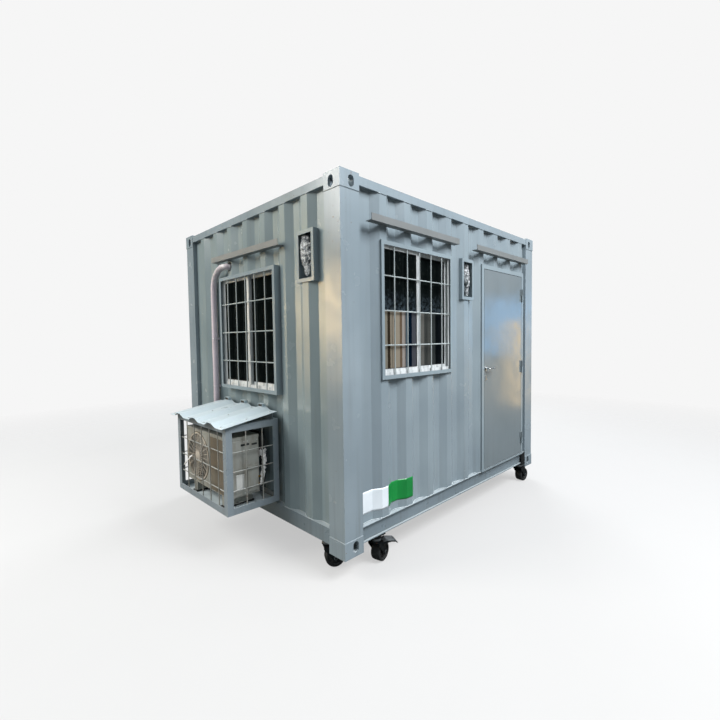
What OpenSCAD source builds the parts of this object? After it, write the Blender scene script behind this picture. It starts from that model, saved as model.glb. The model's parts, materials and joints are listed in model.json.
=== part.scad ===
// Container site office: a 10 ft steel box on castors, with a door, two barred
// windows and an air-conditioner in a wall cage. Millimetres, +Z up.

/* [Container] */
// Overall length over the corner castings
box_l = 2991; // [2900:1:6058]
// Overall width over the corner castings
box_w = 2438; // [2430:1:2900]
// Height from the underside of the bottom castings to the top of the top ones
box_h = 2591; // [2560:1:2900]
// Height of the bottom castings above the ground
ground_gap = 150; // [150:1:190]

/* [Corner castings] */
// Casting size along the box
casting_l = 178; // [170:1:190]
// Casting size across the box
casting_w = 162; // [155:1:175]
// Casting height
casting_h = 118; // [110:1:130]
// Wall of a casting
casting_wall = 16; // [8:1:20]
// Thickness of the plate with the long aperture
casting_plate = 28; // [16:1:32]
// Aperture centre from the end face of the box
aperture_x = 102; // [92:0.5:106]
// Aperture centre from the long face of the box
aperture_y = 89.5; // [80:0.5:94]
// Length of the long aperture
aperture_l = 124; // [110:0.5:130]
// Width of the long aperture
aperture_w = 63.5; // [50:0.5:70]
// Height of the oval side apertures
port_h = 79; // [60:1:84]
// Width of the oval side apertures
port_w = 51; // [40:1:60]

/* [Steel frame] */
// Set-back of posts and top rails behind the casting faces
frame_inset = 4; // [0:1:8]
// Plate thickness of the corner posts
post_t = 6; // [4:1:8]
// Depth of the wall line, from the casting faces to the back of the posts
wall_back = 44; // [42:1:48]
// Side of the square top rails
top_rail = 60; // [50:1:80]
// Wall of the square top rails
top_rail_t = 4; // [3:0.5:6]
// Drop of the top rails below the casting tops
top_rail_drop = 15; // [8:1:25]
// Underside of the bottom rails above the casting undersides
rail_z = 60; // [50:1:70]
// Height of the bottom rails
rail_h = 115; // [100:1:125]
// Flange width of the bottom rails
rail_flange = 60; // [50:1:70]
// Plate thickness of the bottom rails
rail_t = 6; // [4:1:8]
// Recess of the web of a side rail behind its lips
rail_recess = 18; // [8:1:30]
// Height of a floor cross member
beam_h = 100; // [80:1:105]
// Flange width of a floor cross member
beam_flange = 45; // [35:1:60]
// Plate thickness of a floor cross member
beam_t = 4; // [3:0.5:6]
// Number of floor cross members
beam_count = 7; // [4:1:10]

/* [Corrugated walls] */
// Set-back of the crests behind the casting faces
crest_inset = 6; // [4:1:8]
// Depth of the corrugation
wave_depth = 36; // [24:1:36]
// Sheet thickness
skin_t = 2; // [1.6:0.1:3]
// Flat width of a crest
wave_crest = 72; // [60:1:80]
// Run of a slope between crest and valley
wave_slope = 68; // [55:1:75]
// Pitch on the long walls
side_pitch = 282; // [270:1:300]
// First crest from the post, on the long walls
side_first = 241; // [220:1:260]
// Pitch on the end walls
end_pitch = 278; // [270:1:300]
// First crest from the post, on the end walls
end_first = 223; // [200:1:240]

/* [Roof] */
// Depth of the roof corrugation
roof_wave = 20; // [12:1:24]
// Pitch of the roof corrugation
roof_pitch = 210; // [190:1:260]
// Flat crest of the roof corrugation
roof_crest = 84; // [70:1:90]
// Run of a roof slope
roof_slope = 18; // [12:1:24]
// Crest of the roof below the casting tops
roof_drop = 8; // [4:1:12]

/* [Room] */
// Thickness of the insulated wall lining
lining_t = 50; // [30:1:75]
// Thickness of the insulated ceiling
ceiling_t = 50; // [30:1:60]
// Thickness of the floor deck
deck_t = 18; // [15:1:28]
// Underside of the ceiling below the casting tops
ceiling_drop = 171; // [165:1:200]

/* [Windows] */
// Outer width of a steel window frame
window_w = 912; // [800:1:920]
// Outer height of a steel window frame
window_h = 1000; // [900:1:1020]
// Face width of a steel window frame
window_face = 30; // [25:1:40]
// Plate thickness of a steel window frame
window_t = 4; // [3:0.5:5]
// Top of the side window frame below the casting tops
side_window_drop = 401; // [395:1:500]
// Stand-out of the side window frame from the casting faces
side_window_out = 9; // [0:1:30]
// Middle of the end window from the door side face
end_window_y = 1166; // [1080:1:1300]
// Stand-out of the end window frame from the casting faces
end_window_out = 42; // [10:1:60]
// Front of the aluminium side window behind the casting faces
side_alu_in = 10; // [9:1:16]
// Front of the aluminium end window ahead of the casting faces
end_alu_out = 13; // [0:1:16]
// Depth of the aluminium window frame
alu_d = 50; // [48:1:60]
// Base thickness of the aluminium frame
alu_base = 12; // [8:1:20]
// Width of the upright lips of the aluminium frame
alu_side_lip = 38; // [32:1:45]
// Height of the top lips of the aluminium frame
alu_head_lip = 28; // [24:1:40]
// Height of the bottom lips of the aluminium frame
alu_sill_lip = 46; // [40:1:60]
// Sheet thickness of the aluminium lips
alu_t = 3; // [2:0.5:4]
// Depth of a sliding sash
sash_d = 18; // [14:1:18]
// Width of a sash stile
sash_stile = 36; // [30:1:50]
// Height of the top rail of a sash
sash_head = 34; // [28:1:50]
// Height of the bottom rail of a sash
sash_foot = 56; // [45:1:70]
// Thickness of the glass
glass_t = 5; // [4:1:8]
// Diameter of a grille rod
rod_d = 10; // [8:1:11]
// Upright rods in a window grille
grille_uprights = 5; // [3:1:7]
// Level rods in a window grille
grille_levels = 3; // [2:1:5]
// Spacing of the upright rods
upright_pitch = 153; // [100:1:153]
// Spacing of the level rods
level_pitch = 252; // [150:1:252]

/* [Places on the door side] */
// Share of the spare wall between the near post and the window
gap_post_window = 205; // [160:1:240]
// Share of the spare wall between the window and the niche
gap_window_niche = 171; // [140:1:200]
// Share of the spare wall between the niche and the door
gap_niche_door = 148; // [120:1:180]
// Strip of wall between the door and the far post
door_strip = 89; // [80:1:100]

/* [Heights on the unit end] */
// Share of the spare height between the bottom rail and the cage
gap_rail_cage = 30; // [20:1:60]
// Share of the spare height between the cage and the window
gap_cage_window = 197; // [180:1:240]
// Share of the spare height above the window
gap_over_window = 531; // [500:1:560]

/* [Rain gutters] */
// Length of a gutter beyond the width of its opening
gutter_over = 188; // [120:1:200]
// Reach of a gutter beyond the casting faces
gutter_out = 50; // [30:1:60]
// Height of a gutter's outer leg
gutter_h = 48; // [30:1:60]
// Plate thickness of a gutter
gutter_t = 4; // [3:0.5:5]
// Rise of the gutters on the door side above the window
side_gutter_rise = 100; // [90:1:120]
// Overhang of the side window's gutter on its left
window_gutter_left = 138; // [90:1:150]
// Overhang of the door's gutter on its left
door_gutter_left = 162; // [90:1:165]
// Rise of the end gutter's middle above the window
end_gutter_rise = 147; // [140:1:160]
// Middle of the end gutter from the door side face
end_gutter_y = 1195; // [1150:1:1250]
// Fall of the end gutter in degrees
end_gutter_fall = 1; // [0:0.25:2]

/* [Power niches] */
// Outer width of a niche box
niche_w = 198; // [180:1:210]
// Outer height of a niche box
niche_h = 366; // [340:1:380]
// Width of the lip round a niche
niche_lip = 27; // [20:1:32]
// Sheet thickness of a niche box
niche_t = 3; // [2:0.5:4]
// Stand-out of a niche box from the casting faces
niche_out = 4; // [0:1:15]
// Top of the side niche below the casting tops
side_niche_drop = 393; // [340:1:450]
// Near side of the end niche from the door side face
end_niche_y = 274; // [240:1:300]
// Top of the end niche below the casting tops
end_niche_drop = 327; // [300:1:400]
// Width of a wall socket's back plate
socket_w = 84; // [70:1:90]
// Height of a wall socket's back plate
socket_h = 120; // [100:1:130]
// Thickness of a wall socket's back plate
socket_t = 8; // [5:1:10]
// Depth of a wall socket's body
socket_body = 26; // [20:1:28]
// Radius of a plug
plug_r = 27; // [20:1:28]
// Length of a plug
plug_l = 124; // [100:1:126]

/* [Door] */
// Outer width of the door frame
door_w = 912; // [880:1:960]
// Top of the door frame below the casting tops
door_drop = 404; // [390:1:450]
// Face width of the door frame
jamb_face = 40; // [34:1:50]
// Sheet thickness of the door frame
jamb_t = 3; // [2:0.5:4]
// Stand-out of the door frame from the casting faces
door_out = 8; // [2:1:20]
// Gap round the door leaf
door_gap = 5; // [5:0.5:8]
// Thickness of the door leaf
leaf_t = 42; // [38:1:50]
// Sheet thickness of the door leaf
leaf_skin = 2; // [1.5:0.1:3]
// Width of the stop behind the leaf
stop_w = 12; // [8:1:16]
// Height of the threshold plate
sill_h = 18; // [12:1:24]

/* [Hinges] */
// Radius of a hinge barrel
hinge_r = 9; // [8:0.5:11]
// Radius of a hinge pin
hinge_pin_r = 5; // [4:0.5:6]
// Height of a hinge, both halves
hinge_h = 130; // [110:1:150]
// Stand-off of the hinge axis from the faces of leaf and frame
hinge_off = 11; // [11:0.5:14]
// Heights of the hinge middles
hinge_low = 367; // [330:1:420]
// Height of the middle hinge
hinge_mid = 1163; // [1000:1:1300]
// Middle of the top hinge below the top of the door frame
hinge_top_drop = 245; // [200:1:300]

/* [Lever and lock] */
// Lever pivot from the free edge of the leaf
lever_edge = 28; // [26:1:60]
// Height of the lever pivot
lever_z = 1188; // [1100:1:1250]
// Length of the lever
lever_l = 128; // [100:1:140]
// Stand-out of the lever from the leaf
lever_out = 52; // [44:1:60]
// Radius of the lever bar
lever_r = 9; // [7:0.5:10]
// Radius of the spindle
spindle_r = 6; // [4:0.5:7]
// Radius of the rose behind the lever
rose_r = 22; // [18:1:24]
// Drop of the key cylinder below the lever pivot
key_drop = 95; // [80:1:110]

/* [Unit cage] */
// Near side of the cage from the door side face
cage_y = 774; // [740:1:800]
// Width of the cage
cage_w = 888; // [860:1:920]
// Height of the cage
cage_h = 662; // [640:1:700]
// Reach of the cage beyond the casting faces
cage_out = 440; // [430:1:470]
// Leg of the cage angles
cage_leg = 50; // [40:1:55]
// Thickness of the cage angles
cage_t = 4; // [3:0.5:5]
// Thickness of the cage floor sheet
cage_floor_t = 3; // [2:0.5:4]
// Diameter of a cage bar
cage_rod_d = 8; // [6:1:10]
// Upright bars on the outer face
cage_uprights = 5; // [3:1:5]
// Upright bars on each side face
cage_side_uprights = 2; // [1:1:2]
// Level bars on every face
cage_levels = 3; // [2:1:4]
// Spacing of the upright bars
cage_upright_pitch = 141; // [120:1:145]
// Spacing of the level bars
cage_level_pitch = 143; // [120:1:150]

/* [Cage roof] */
// Reach of the roof sheet beyond the casting faces
hood_out = 495; // [480:1:520]
// Gap between the roof sheet and the casting faces
hood_gap = 26; // [24:1:40]
// Near side of the roof sheet from the door side face
hood_y = 735; // [720:1:770]
// Width of the roof sheet
hood_w = 955; // [940:1:975]
// Rise of the roof sheet at the wall above the cage
hood_rise = 64; // [30:1:80]
// Depth of its ribs
hood_wave = 27; // [18:1:32]
// Pitch of its ribs
hood_pitch = 290; // [240:1:300]
// Sheet thickness
hood_t = 1.5; // [1:0.1:2.5]

/* [Cooling unit] */
// Width of the unit
unit_w = 750; // [700:1:760]
// Depth of the unit
unit_d = 250; // [220:1:255]
// Height of the casing
unit_h = 450; // [420:1:470]
// Front of the casing behind the cage's outer plane
unit_in = 45; // [40:1:50]
// Side gap between the casing and the near side of the cage
unit_side = 49; // [45:1:60]
// Height of the feet
unit_foot = 98; // [60:1:110]
// Width of a foot
foot_w = 60; // [45:1:70]
// Side of the casing to a foot
foot_in = 90; // [70:1:110]
// Radius of the fan guard
fan_r = 190; // [160:1:198]
// Side of the casing to the rim of the fan
fan_in = 24; // [20:1:30]
// Radius of the fan's hub
fan_hub = 50; // [40:1:60]
// Width of the cover over the valves
cover_w = 90; // [80:1:100]
// Height of the cover over the valves
cover_h = 190; // [160:1:200]
// Stand-out of the cover over the valves
cover_out = 22; // [15:1:25]

/* [Refrigerant line] */
// Radius of the wrapped line
line_r = 27; // [24:1:32]
// Axis of the line in front of the casting faces
line_out = 30; // [29:1:34]
// Middle of the wall hole from the door side face
line_hole_y = 1497; // [1490:1:1500]
// Rise of the wall hole above the window
line_hole_rise = 100; // [80:1:100]
// Position of the drop from the door side face
line_drop_y = 1760; // [1758:1:1790]
// Radius of the big bend
line_bend = 195; // [150:1:200]
// Radius of a tight bend
line_tight = 60; // [50:1:62]
// Axis of the run behind the unit, from the casting faces
line_in = 90; // [88:1:94]
// Height of that run above the underside of the cage
line_enter_z = 530; // [510:1:540]
// End of the line from the near side of the cage
line_end_in = 90; // [80:1:120]
// Length of the line's straight end
line_end_l = 110; // [60:1:140]
// Clips on the drop
line_clips = 2; // [1:1:3]
// Height of the lowest clip
line_clip_z = 1050; // [1000:1:1100]
// Spacing of the clips
line_clip_pitch = 450; // [300:1:480]
// Width of a clip
clip_w = 40; // [30:1:45]
// Height of a clip
clip_h = 22; // [15:1:30]
// Depth of a clip in the wrapping
clip_bite = 8; // [6:1:10]

/* [Castors] */
// Radius of a wheel
wheel_r = 72; // [68:1:72]
// Width of a wheel
wheel_w = 76; // [60:1:78]
// Trail of the wheel axle behind the swivel axis
trail = 50; // [40:1:52]
// Radius of the axle
axle_r = 8; // [6:0.5:10]
// Radius of the king pin
king_r = 8; // [6:0.5:10]
// Plate thickness of the fork
fork_t = 5; // [4:0.5:6]
// Thickness of a mounting plate
plate_t = 8; // [6:1:10]
// Length of a mounting plate
mount_l = 130; // [110:1:140]
// Radius of the swivel race
race_r = 36; // [32:1:38]
// Underside of the race below the rails
race_drop = 20; // [18:1:24]
// Underside of the fork crown below the rails
crown_drop = 54; // [50:1:56]
// Reach of the brake pedal from the swivel axis
pedal_reach = 150; // [130:1:152]
// Width of the brake pedal
pedal_w = 90; // [80:1:95]
// Highest line of the brake pedal from the swivel axis
pedal_crest = 70; // [60:1:80]
// Length of the cheeks along the brake pedal
pedal_cheek = 100; // [85:1:110]
// Length of the fork crown
crown_l = 80; // [70:1:84]
// Fork crown ahead of the swivel axis
crown_ahead = 34; // [30:1:36]
// Castors on the long sides, near the cooling unit, from the end face
near_castor_x = 343; // [343:1:500]
// Castors on the long sides, far end, from the far end face
far_castor_x = 252; // [252:1:500]
// Castors under the end rail, from the long faces
end_castor_y = 257; // [255:1:400]
// Swivel axes under the rails, from the casting faces
castor_in = 36; // [34:1:40]
// Swivel axes under the end rail, from the end face
end_castor_in = 64; // [60:1:70]
// Turn of a brake pedal from the trail
pedal_turn = 39; // [0:1:45]
// Width of the stiffener on the rail over a far castor
stiffener_w = 88; // [60:1:100]
// Thickness of a stiffener
stiffener_t = 5; // [4:0.5:6]
// Stiffener below the underside of its rail
stiffener_drop = 12; // [8:1:14]
// Gap between a stiffener and its casting
stiffener_gap = 4; // [2:1:8]

/* [Hidden] */
$fn = 48;

wall_grey = "#8c999f";
dark_steel = "#3a3f42";
white_alu = "#cfd3d1";

// Clearance between pieces that seat against each other
seat = 0.3;
// Overrun of a cut past the face that it opens
cut = 1;
// Radial clearance of a pin in its bore
pin_gap = 0.1;

// The origin lies on the ground, midway between the cage roof's edge and the far end
mid_x = (box_l - hood_out) / 2;
mid_y = box_w / 2;

post_top = box_h - casting_h;
rail_top = rail_z + rail_h;
top_rail_z = box_h - top_rail_drop - top_rail;
valley_back = crest_inset + wave_depth + skin_t;
lining_out = max(wall_back, valley_back) + seat;
lining_in = lining_out + lining_t;
side_panel = box_l - 2 * casting_l;
end_panel = box_w - 2 * casting_w;
deck_top = rail_top + deck_t;
ceiling_z = box_h - ceiling_drop;
room_edge = lining_in + seat;

// Places of the openings: what is spare is shared out between them
side_spare = side_panel - window_w - niche_w - door_w - door_strip;
side_share = side_spare / (gap_post_window + gap_window_niche + gap_niche_door);
side_window_left = casting_l + side_share * gap_post_window;
side_niche_x = side_window_left + window_w + side_share * gap_window_niche;
door_x = side_niche_x + niche_w + side_share * gap_niche_door;
end_spare = box_h - rail_top - cage_h - window_h;
end_share = end_spare / (gap_rail_cage + gap_cage_window + gap_over_window);
cage_z = rail_top + end_share * gap_rail_cage;
end_window_z = cage_z + cage_h + end_share * gap_cage_window;
side_window_z = box_h - side_window_drop - window_h;
side_niche_z = box_h - side_niche_drop - niche_h;
end_niche_z = box_h - end_niche_drop - niche_h;
door_top = box_h - door_drop;
line_hole_z = end_window_z + window_h + line_hole_rise;

// ---------------------------------------------------------------- frames

// Puts the box, drawn from its front left bottom corner, over the ground origin
module in_frame() {
  translate([-mid_x, -mid_y, ground_gap]) children();
}

// The four faces: x runs to the right seen from outside, y runs inwards
module on_unit_end() {
  translate([0, box_w, 0]) rotate([0, 0, -90]) children();
}

module on_back() {
  translate([box_l, box_w, 0]) rotate([0, 0, 180]) children();
}

module on_far_end() {
  translate([box_l, 0, 0]) rotate([0, 0, 90]) children();
}

// Copies a corner piece to all four corners
module at_corners() {
  for (fx = [0, 1], fy = [0, 1])
    translate([fx * box_l, fy * box_w, 0]) mirror([fx, 0, 0]) mirror([0, fy, 0]) children();
}

module at_side_window() {
  translate([side_window_left, 0, side_window_z]) children();
}

module at_end_window() {
  on_unit_end()
    translate([box_w - end_window_y - window_w / 2, 0, end_window_z]) children();
}

module at_side_niche() {
  translate([side_niche_x, 0, side_niche_z]) children();
}

module at_end_niche() {
  on_unit_end() translate([box_w - end_niche_y - niche_w, 0, end_niche_z]) children();
}

module at_door() {
  translate([door_x, 0, rail_top]) children();
}

// The cage's lower far corner, with x towards the door side
module at_cage() {
  on_unit_end() translate([box_w - cage_y - cage_w, -cage_out, cage_z]) children();
}

// ---------------------------------------------------------------- shared forms

// A block from depth v0 to v1
module block(w, h, v0, v1) {
  translate([0, v0, 0]) cube([w, v1 - v0, h]);
}

// A rectangular frame in a wall, with uprights, a head and a foot of their own widths
module ring(w, h, upright, head, foot, v0, v1) {
  difference() {
    block(w, h, v0, v1);
    translate([upright, 0, foot]) block(w - 2 * upright, h - head - foot, v0 - cut, v1 + cut);
  }
}

// A stadium-shaped opening cut along z
module slot(l, w, depth) {
  linear_extrude(depth) {
    square([l - w, w], center = true);
    for (s = [-1, 1]) translate([s * (l - w) / 2, 0]) circle(d = w);
  }
}

function wave_count(l, first, pitch, foot) = floor((l - first - foot) / pitch) + 1;

// One line of a corrugated profile: crests at y = shift, valleys at depth + shift
function wave_line(l, first, pitch, crest, slope, depth, shift) = concat(
  [[0, depth + shift]],
  [for (i = [0 : wave_count(l, first, pitch, crest / 2 + slope) - 1])
    for (p = [[-crest / 2 - slope, depth], [-crest / 2, 0], [crest / 2, 0], [crest / 2 + slope, depth]])
      [first + i * pitch + p[0], p[1] + shift]],
  [[l, depth + shift]]
);

module wave_profile(l, first, pitch, crest, slope, depth, t) {
  outer = wave_line(l, first, pitch, crest, slope, depth, 0);
  inner = wave_line(l, first, pitch, crest, slope, depth, t);
  polygon(concat(outer, [for (i = [len(inner) - 1 : -1 : 0]) inner[i]]));
}

// A full corrugated wall panel between the posts of a face
module wall_panel(l, edge, first, pitch) {
  translate([edge + seat, crest_inset, rail_top])
    linear_extrude(top_rail_z - rail_top)
      wave_profile(l - 2 * seat, first - seat, pitch, wave_crest, wave_slope, wave_depth, skin_t);
}

module side_panel_sheet() wall_panel(side_panel, casting_l, side_first, side_pitch);

module end_panel_sheet() wall_panel(end_panel, casting_w, end_first, end_pitch);

// Clears a w by h opening through skin and lining, with a seating gap round it
module wall_cut(w, h) {
  translate([-seat, 0, -seat]) block(w + 2 * seat, h + 2 * seat, -cut, lining_in + cut);
}

// Clears the door opening, from below the wall up to the head of the frame
module door_cut() {
  at_door() translate([-seat, 0, -rail_h])
    block(door_w + 2 * seat, door_top - rail_top + rail_h + seat, -cut, lining_in + cut);
}

// ---------------------------------------------------------------- steel frame

module casting() {
  difference() {
    cube([casting_l, casting_w, casting_h]);
    translate([casting_wall, casting_wall, casting_plate])
      cube([casting_l - 2 * casting_wall, casting_w - 2 * casting_wall,
            casting_h - casting_plate - casting_wall]);
    translate([aperture_x, aperture_y, -cut])
      slot(aperture_l, aperture_w, casting_plate + 2 * cut);
    translate([aperture_x, -cut, casting_h / 2 + casting_wall / 2])
      rotate([-90, 0, 0]) rotate([0, 0, 90]) slot(port_h, port_w, casting_wall + 2 * cut);
    translate([-cut, aperture_y, casting_h / 2 + casting_wall / 2])
      rotate([0, 90, 0]) slot(port_h, port_w, casting_wall + 2 * cut);
  }
}

module corner_castings() {
  color("#93a1a8") in_frame() at_corners() {
    casting();
    translate([0, 0, box_h]) mirror([0, 0, 1]) casting();
  }
}

// Folded corner post: two legs on the faces, each with a return to the wall line
module corner_posts() {
  color("#95a4ad") in_frame() at_corners()
    translate([0, 0, casting_h]) linear_extrude(post_top - casting_h) {
      translate([frame_inset, frame_inset]) square([casting_l - frame_inset, post_t]);
      translate([frame_inset, frame_inset]) square([post_t, casting_w - frame_inset]);
      translate([casting_l - post_t, frame_inset]) square([post_t, wall_back - frame_inset]);
      translate([frame_inset, casting_w - post_t]) square([wall_back - frame_inset, post_t]);
    }
}

// Square tube along x
module tube_rail(l) {
  difference() {
    cube([l, top_rail, top_rail]);
    translate([-cut, top_rail_t, top_rail_t])
      cube([l + 2 * cut, top_rail - 2 * top_rail_t, top_rail - 2 * top_rail_t]);
  }
}

module top_rails() {
  color(wall_grey) in_frame() {
    for (side = [0, 1])
      translate([0, side * box_w, 0]) mirror([0, side, 0])
        translate([casting_l, frame_inset, top_rail_z]) tube_rail(side_panel);
    for (end = [0, 1])
      translate([end * box_l, 0, 0]) mirror([end, 0, 0]) on_unit_end()
        translate([casting_w, frame_inset, top_rail_z]) tube_rail(end_panel);
  }
}

// Side rail: two flanges with outer lips and a recessed web
module side_rail() {
  translate([casting_l, crest_inset, rail_z]) rotate([90, 0, 90]) linear_extrude(side_panel) {
    square([rail_flange, rail_t]);
    translate([0, rail_h - rail_t]) square([rail_flange, rail_t]);
    translate([rail_recess, 0]) square([rail_t, rail_h]);
  }
}

// End rail: a channel with its web outside
module end_rail() {
  translate([casting_w, frame_inset, rail_z]) rotate([90, 0, 90]) linear_extrude(end_panel) {
    square([rail_flange, rail_t]);
    translate([0, rail_h - rail_t]) square([rail_flange, rail_t]);
    square([rail_t, rail_h]);
  }
}

module bottom_rails() {
  color(wall_grey) in_frame() {
    side_rail();
    on_back() side_rail();
    on_unit_end() end_rail();
    on_far_end() end_rail();
  }
}

// Cross members between the webs of the side rails, each a channel on its side
module floor_beams() {
  span_y = crest_inset + rail_recess + rail_t;
  pitch = (box_l - 2 * casting_l - beam_flange) / (beam_count + 1);
  color("#6f7a7f") in_frame()
    for (i = [1 : beam_count])
      translate([casting_l + i * pitch, box_w - span_y, rail_top - beam_h - rail_t])
        rotate([90, 0, 0]) linear_extrude(box_w - 2 * span_y) {
          square([beam_flange, beam_t]);
          translate([0, beam_h - beam_t]) square([beam_flange, beam_t]);
          square([beam_t, beam_h]);
        }
}

// ---------------------------------------------------------------- floor, roof, walls

// Deck board with bearers that bring it down onto the cross members
module floor_deck() {
  color("#7d7468") in_frame()
    translate([room_edge, room_edge, rail_top - rail_t])
      cube([box_l - 2 * room_edge, box_w - 2 * room_edge, deck_t + rail_t]);
}

module roof_sheet() {
  edge = frame_inset + top_rail + seat;
  foot = roof_crest / 2 + roof_slope;
  first = casting_l - edge + foot + 2 * roof_slope;
  color("#98a5ab") in_frame()
    difference() {
      translate([edge, box_w - edge, box_h - roof_drop]) rotate([90, 0, 0])
        linear_extrude(box_w - 2 * edge) mirror([0, 1])
          wave_profile(box_l - 2 * edge, first, roof_pitch, roof_crest, roof_slope, roof_wave, skin_t);
      at_corners() translate([-cut, -cut, post_top - cut])
        cube([casting_l + seat + cut, casting_w + seat + cut, casting_h + 2 * cut]);
    }
}

module ceiling() {
  color("#e3e4e0") in_frame()
    translate([room_edge, room_edge, ceiling_z])
      cube([box_l - 2 * room_edge, box_w - 2 * room_edge, ceiling_t]);
}

// Door side skin, from the near post to the door frame
module front_wall() {
  color(wall_grey) in_frame() difference() {
    side_panel_sheet();
    at_side_window() wall_cut(window_w, window_h);
    at_side_niche() wall_cut(niche_w, niche_h);
    translate([door_x - seat, 0, 0]) block(box_l, box_h, -cut, lining_in);
  }
}

module front_wall_over_door() {
  color(wall_grey) in_frame() intersection() {
    side_panel_sheet();
    translate([door_x, 0, door_top + seat]) block(door_w, box_h, 0, lining_in);
  }
}

module front_wall_beside_door() {
  color(wall_grey) in_frame() intersection() {
    side_panel_sheet();
    translate([door_x + door_w + seat, 0, 0]) block(box_l, box_h, 0, lining_in);
  }
}

module back_wall() {
  color(wall_grey) in_frame() on_back() side_panel_sheet();
}

module unit_end_wall() {
  color("#7f8a88") in_frame() difference() {
    on_unit_end() end_panel_sheet();
    at_end_window() wall_cut(window_w, window_h);
    at_end_niche() wall_cut(niche_w, niche_h);
    line_hole();
  }
}

module far_end_wall() {
  color("#7f8a88") in_frame() on_far_end() end_panel_sheet();
}

// Lining slab of one face, set between u0 and u1
module lining_slab(u0, u1) {
  translate([u0, 0, rail_top]) block(u1 - u0, ceiling_z + ceiling_t - rail_top, lining_out, lining_in);
}

module wall_linings() {
  color("#dcdedb") in_frame() {
    difference() {
      lining_slab(room_edge, box_l - room_edge);
      at_side_window() wall_cut(window_w, window_h);
      at_side_niche() wall_cut(niche_w, niche_h);
      door_cut();
      for (x = [door_x, door_x + door_w])
        translate([x - seat, 0, 0]) block(2 * seat, box_h, 0, lining_in + cut);
    }
    on_back() lining_slab(room_edge, box_l - room_edge);
    difference() {
      on_unit_end() lining_slab(lining_out, box_w - lining_out);
      at_end_window() wall_cut(window_w, window_h);
      at_end_niche() wall_cut(niche_w, niche_h);
    }
    on_far_end() lining_slab(lining_out, box_w - lining_out);
  }
}

// ---------------------------------------------------------------- windows

// Steel frame folded from angle: a face round the outside and a web through the wall
module window_frame(out) {
  ring(window_w, window_h, window_face, window_face, window_face, -out, window_t - out);
  ring(window_w, window_h, window_t, window_t, window_t, -out, lining_in);
}

module window_frames() {
  color("#9aa7ad") in_frame() {
    at_side_window() window_frame(side_window_out);
    at_end_window() window_frame(end_window_out);
  }
}

alu_w = window_w - 2 * window_t - 2 * seat;
alu_h = window_h - 2 * window_t - 2 * seat;

// Outer aluminium frame with front, middle and back lips that form two tracks
module alu_frame() {
  ring(alu_w, alu_h, alu_base, alu_base, alu_base, 0, alu_d);
  for (v = [0, (alu_d - alu_t) / 2, alu_d - alu_t])
    ring(alu_w, alu_h, alu_side_lip, alu_head_lip, alu_sill_lip, v, v + alu_t);
}

sash_w = alu_w / 2 - alu_base - seat + sash_stile / 2;
sash_h = alu_h - 2 * alu_base - 2 * seat;
track_gap = ((alu_d - 3 * alu_t) / 2 - sash_d) / 2;

// Places a sash: 0 is the front one on the left, 1 the back one on the right
module at_sash(i) {
  u = i == 0 ? alu_base + seat : alu_w - alu_base - seat - sash_w;
  v = i == 0 ? alu_t + track_gap : (alu_d + alu_t) / 2 + track_gap;
  translate([u, v, alu_base + seat]) children();
}

module at_alu(front) {
  translate([window_t + seat, front, window_t + seat]) children();
}

module window_unit(front) {
  at_alu(front) {
    alu_frame();
    for (i = [0, 1]) at_sash(i) ring(sash_w, sash_h, sash_stile, sash_head, sash_foot, 0, sash_d);
  }
}

module window_sashes() {
  color(white_alu) in_frame() {
    at_side_window() window_unit(side_alu_in);
    at_end_window() window_unit(-end_alu_out);
  }
}

module window_panes(front) {
  at_alu(front) for (i = [0, 1]) at_sash(i)
    translate([sash_stile + seat, (sash_d - glass_t) / 2, sash_foot + seat])
      cube([sash_w - 2 * sash_stile - 2 * seat, glass_t, sash_h - sash_head - sash_foot - 2 * seat]);
}

module window_glass() {
  color("#20282c") in_frame() {
    at_side_window() window_panes(side_alu_in);
    at_end_window() window_panes(-end_alu_out);
  }
}

// A rod of few sides, along z from the origin
module rod(d, l) {
  rotate([0, 0, 22.5]) cylinder(d = d, h = l, $fn = 8);
}

// Crossed rods behind the face of a window frame
module window_grille(out) {
  inner_w = window_w - 2 * window_t - 2 * seat;
  inner_h = window_h - 2 * window_t - 2 * seat;
  translate([window_w / 2, window_t - out + rod_d / 2 + seat, window_t + seat])
    for (i = [0 : grille_uprights - 1])
      translate([(i - (grille_uprights - 1) / 2) * upright_pitch, 0, 0]) rod(rod_d, inner_h);
  translate([window_t + seat, window_t - out + rod_d * 0.8 + seat, window_h / 2])
    for (i = [0 : grille_levels - 1])
      translate([0, 0, (i - (grille_levels - 1) / 2) * level_pitch])
        rotate([0, 90, 0]) rod(rod_d, inner_w);
}

module window_grilles() {
  color("#c9cecf") in_frame() {
    at_side_window() window_grille(side_window_out);
    at_end_window() window_grille(end_window_out);
  }
}

// ---------------------------------------------------------------- gutters and niches

// An angle on the crests, with its outer leg turned up
module gutter(l) {
  rotate([90, 0, 90]) linear_extrude(l) {
    translate([-gutter_out, 0]) square([gutter_out + crest_inset - seat, gutter_t]);
    translate([-gutter_out, 0]) square([gutter_t, gutter_h]);
  }
}

module rain_gutters() {
  color("#a3b0b6") in_frame() {
    translate([0, 0, side_window_z + window_h + side_gutter_rise]) {
      translate([side_window_left - side_share * window_gutter_left, 0, 0])
        gutter(window_w + side_share * gutter_over);
      translate([door_x - side_share * door_gutter_left, 0, 0])
        gutter(door_w + side_share * gutter_over);
    }
    on_unit_end()
      translate([box_w - end_gutter_y, 0, end_window_z + window_h + end_gutter_rise])
        rotate([0, end_gutter_fall, 0]) translate([-(window_w + gutter_over) / 2, 0, 0])
          gutter(window_w + gutter_over);
  }
}

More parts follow.
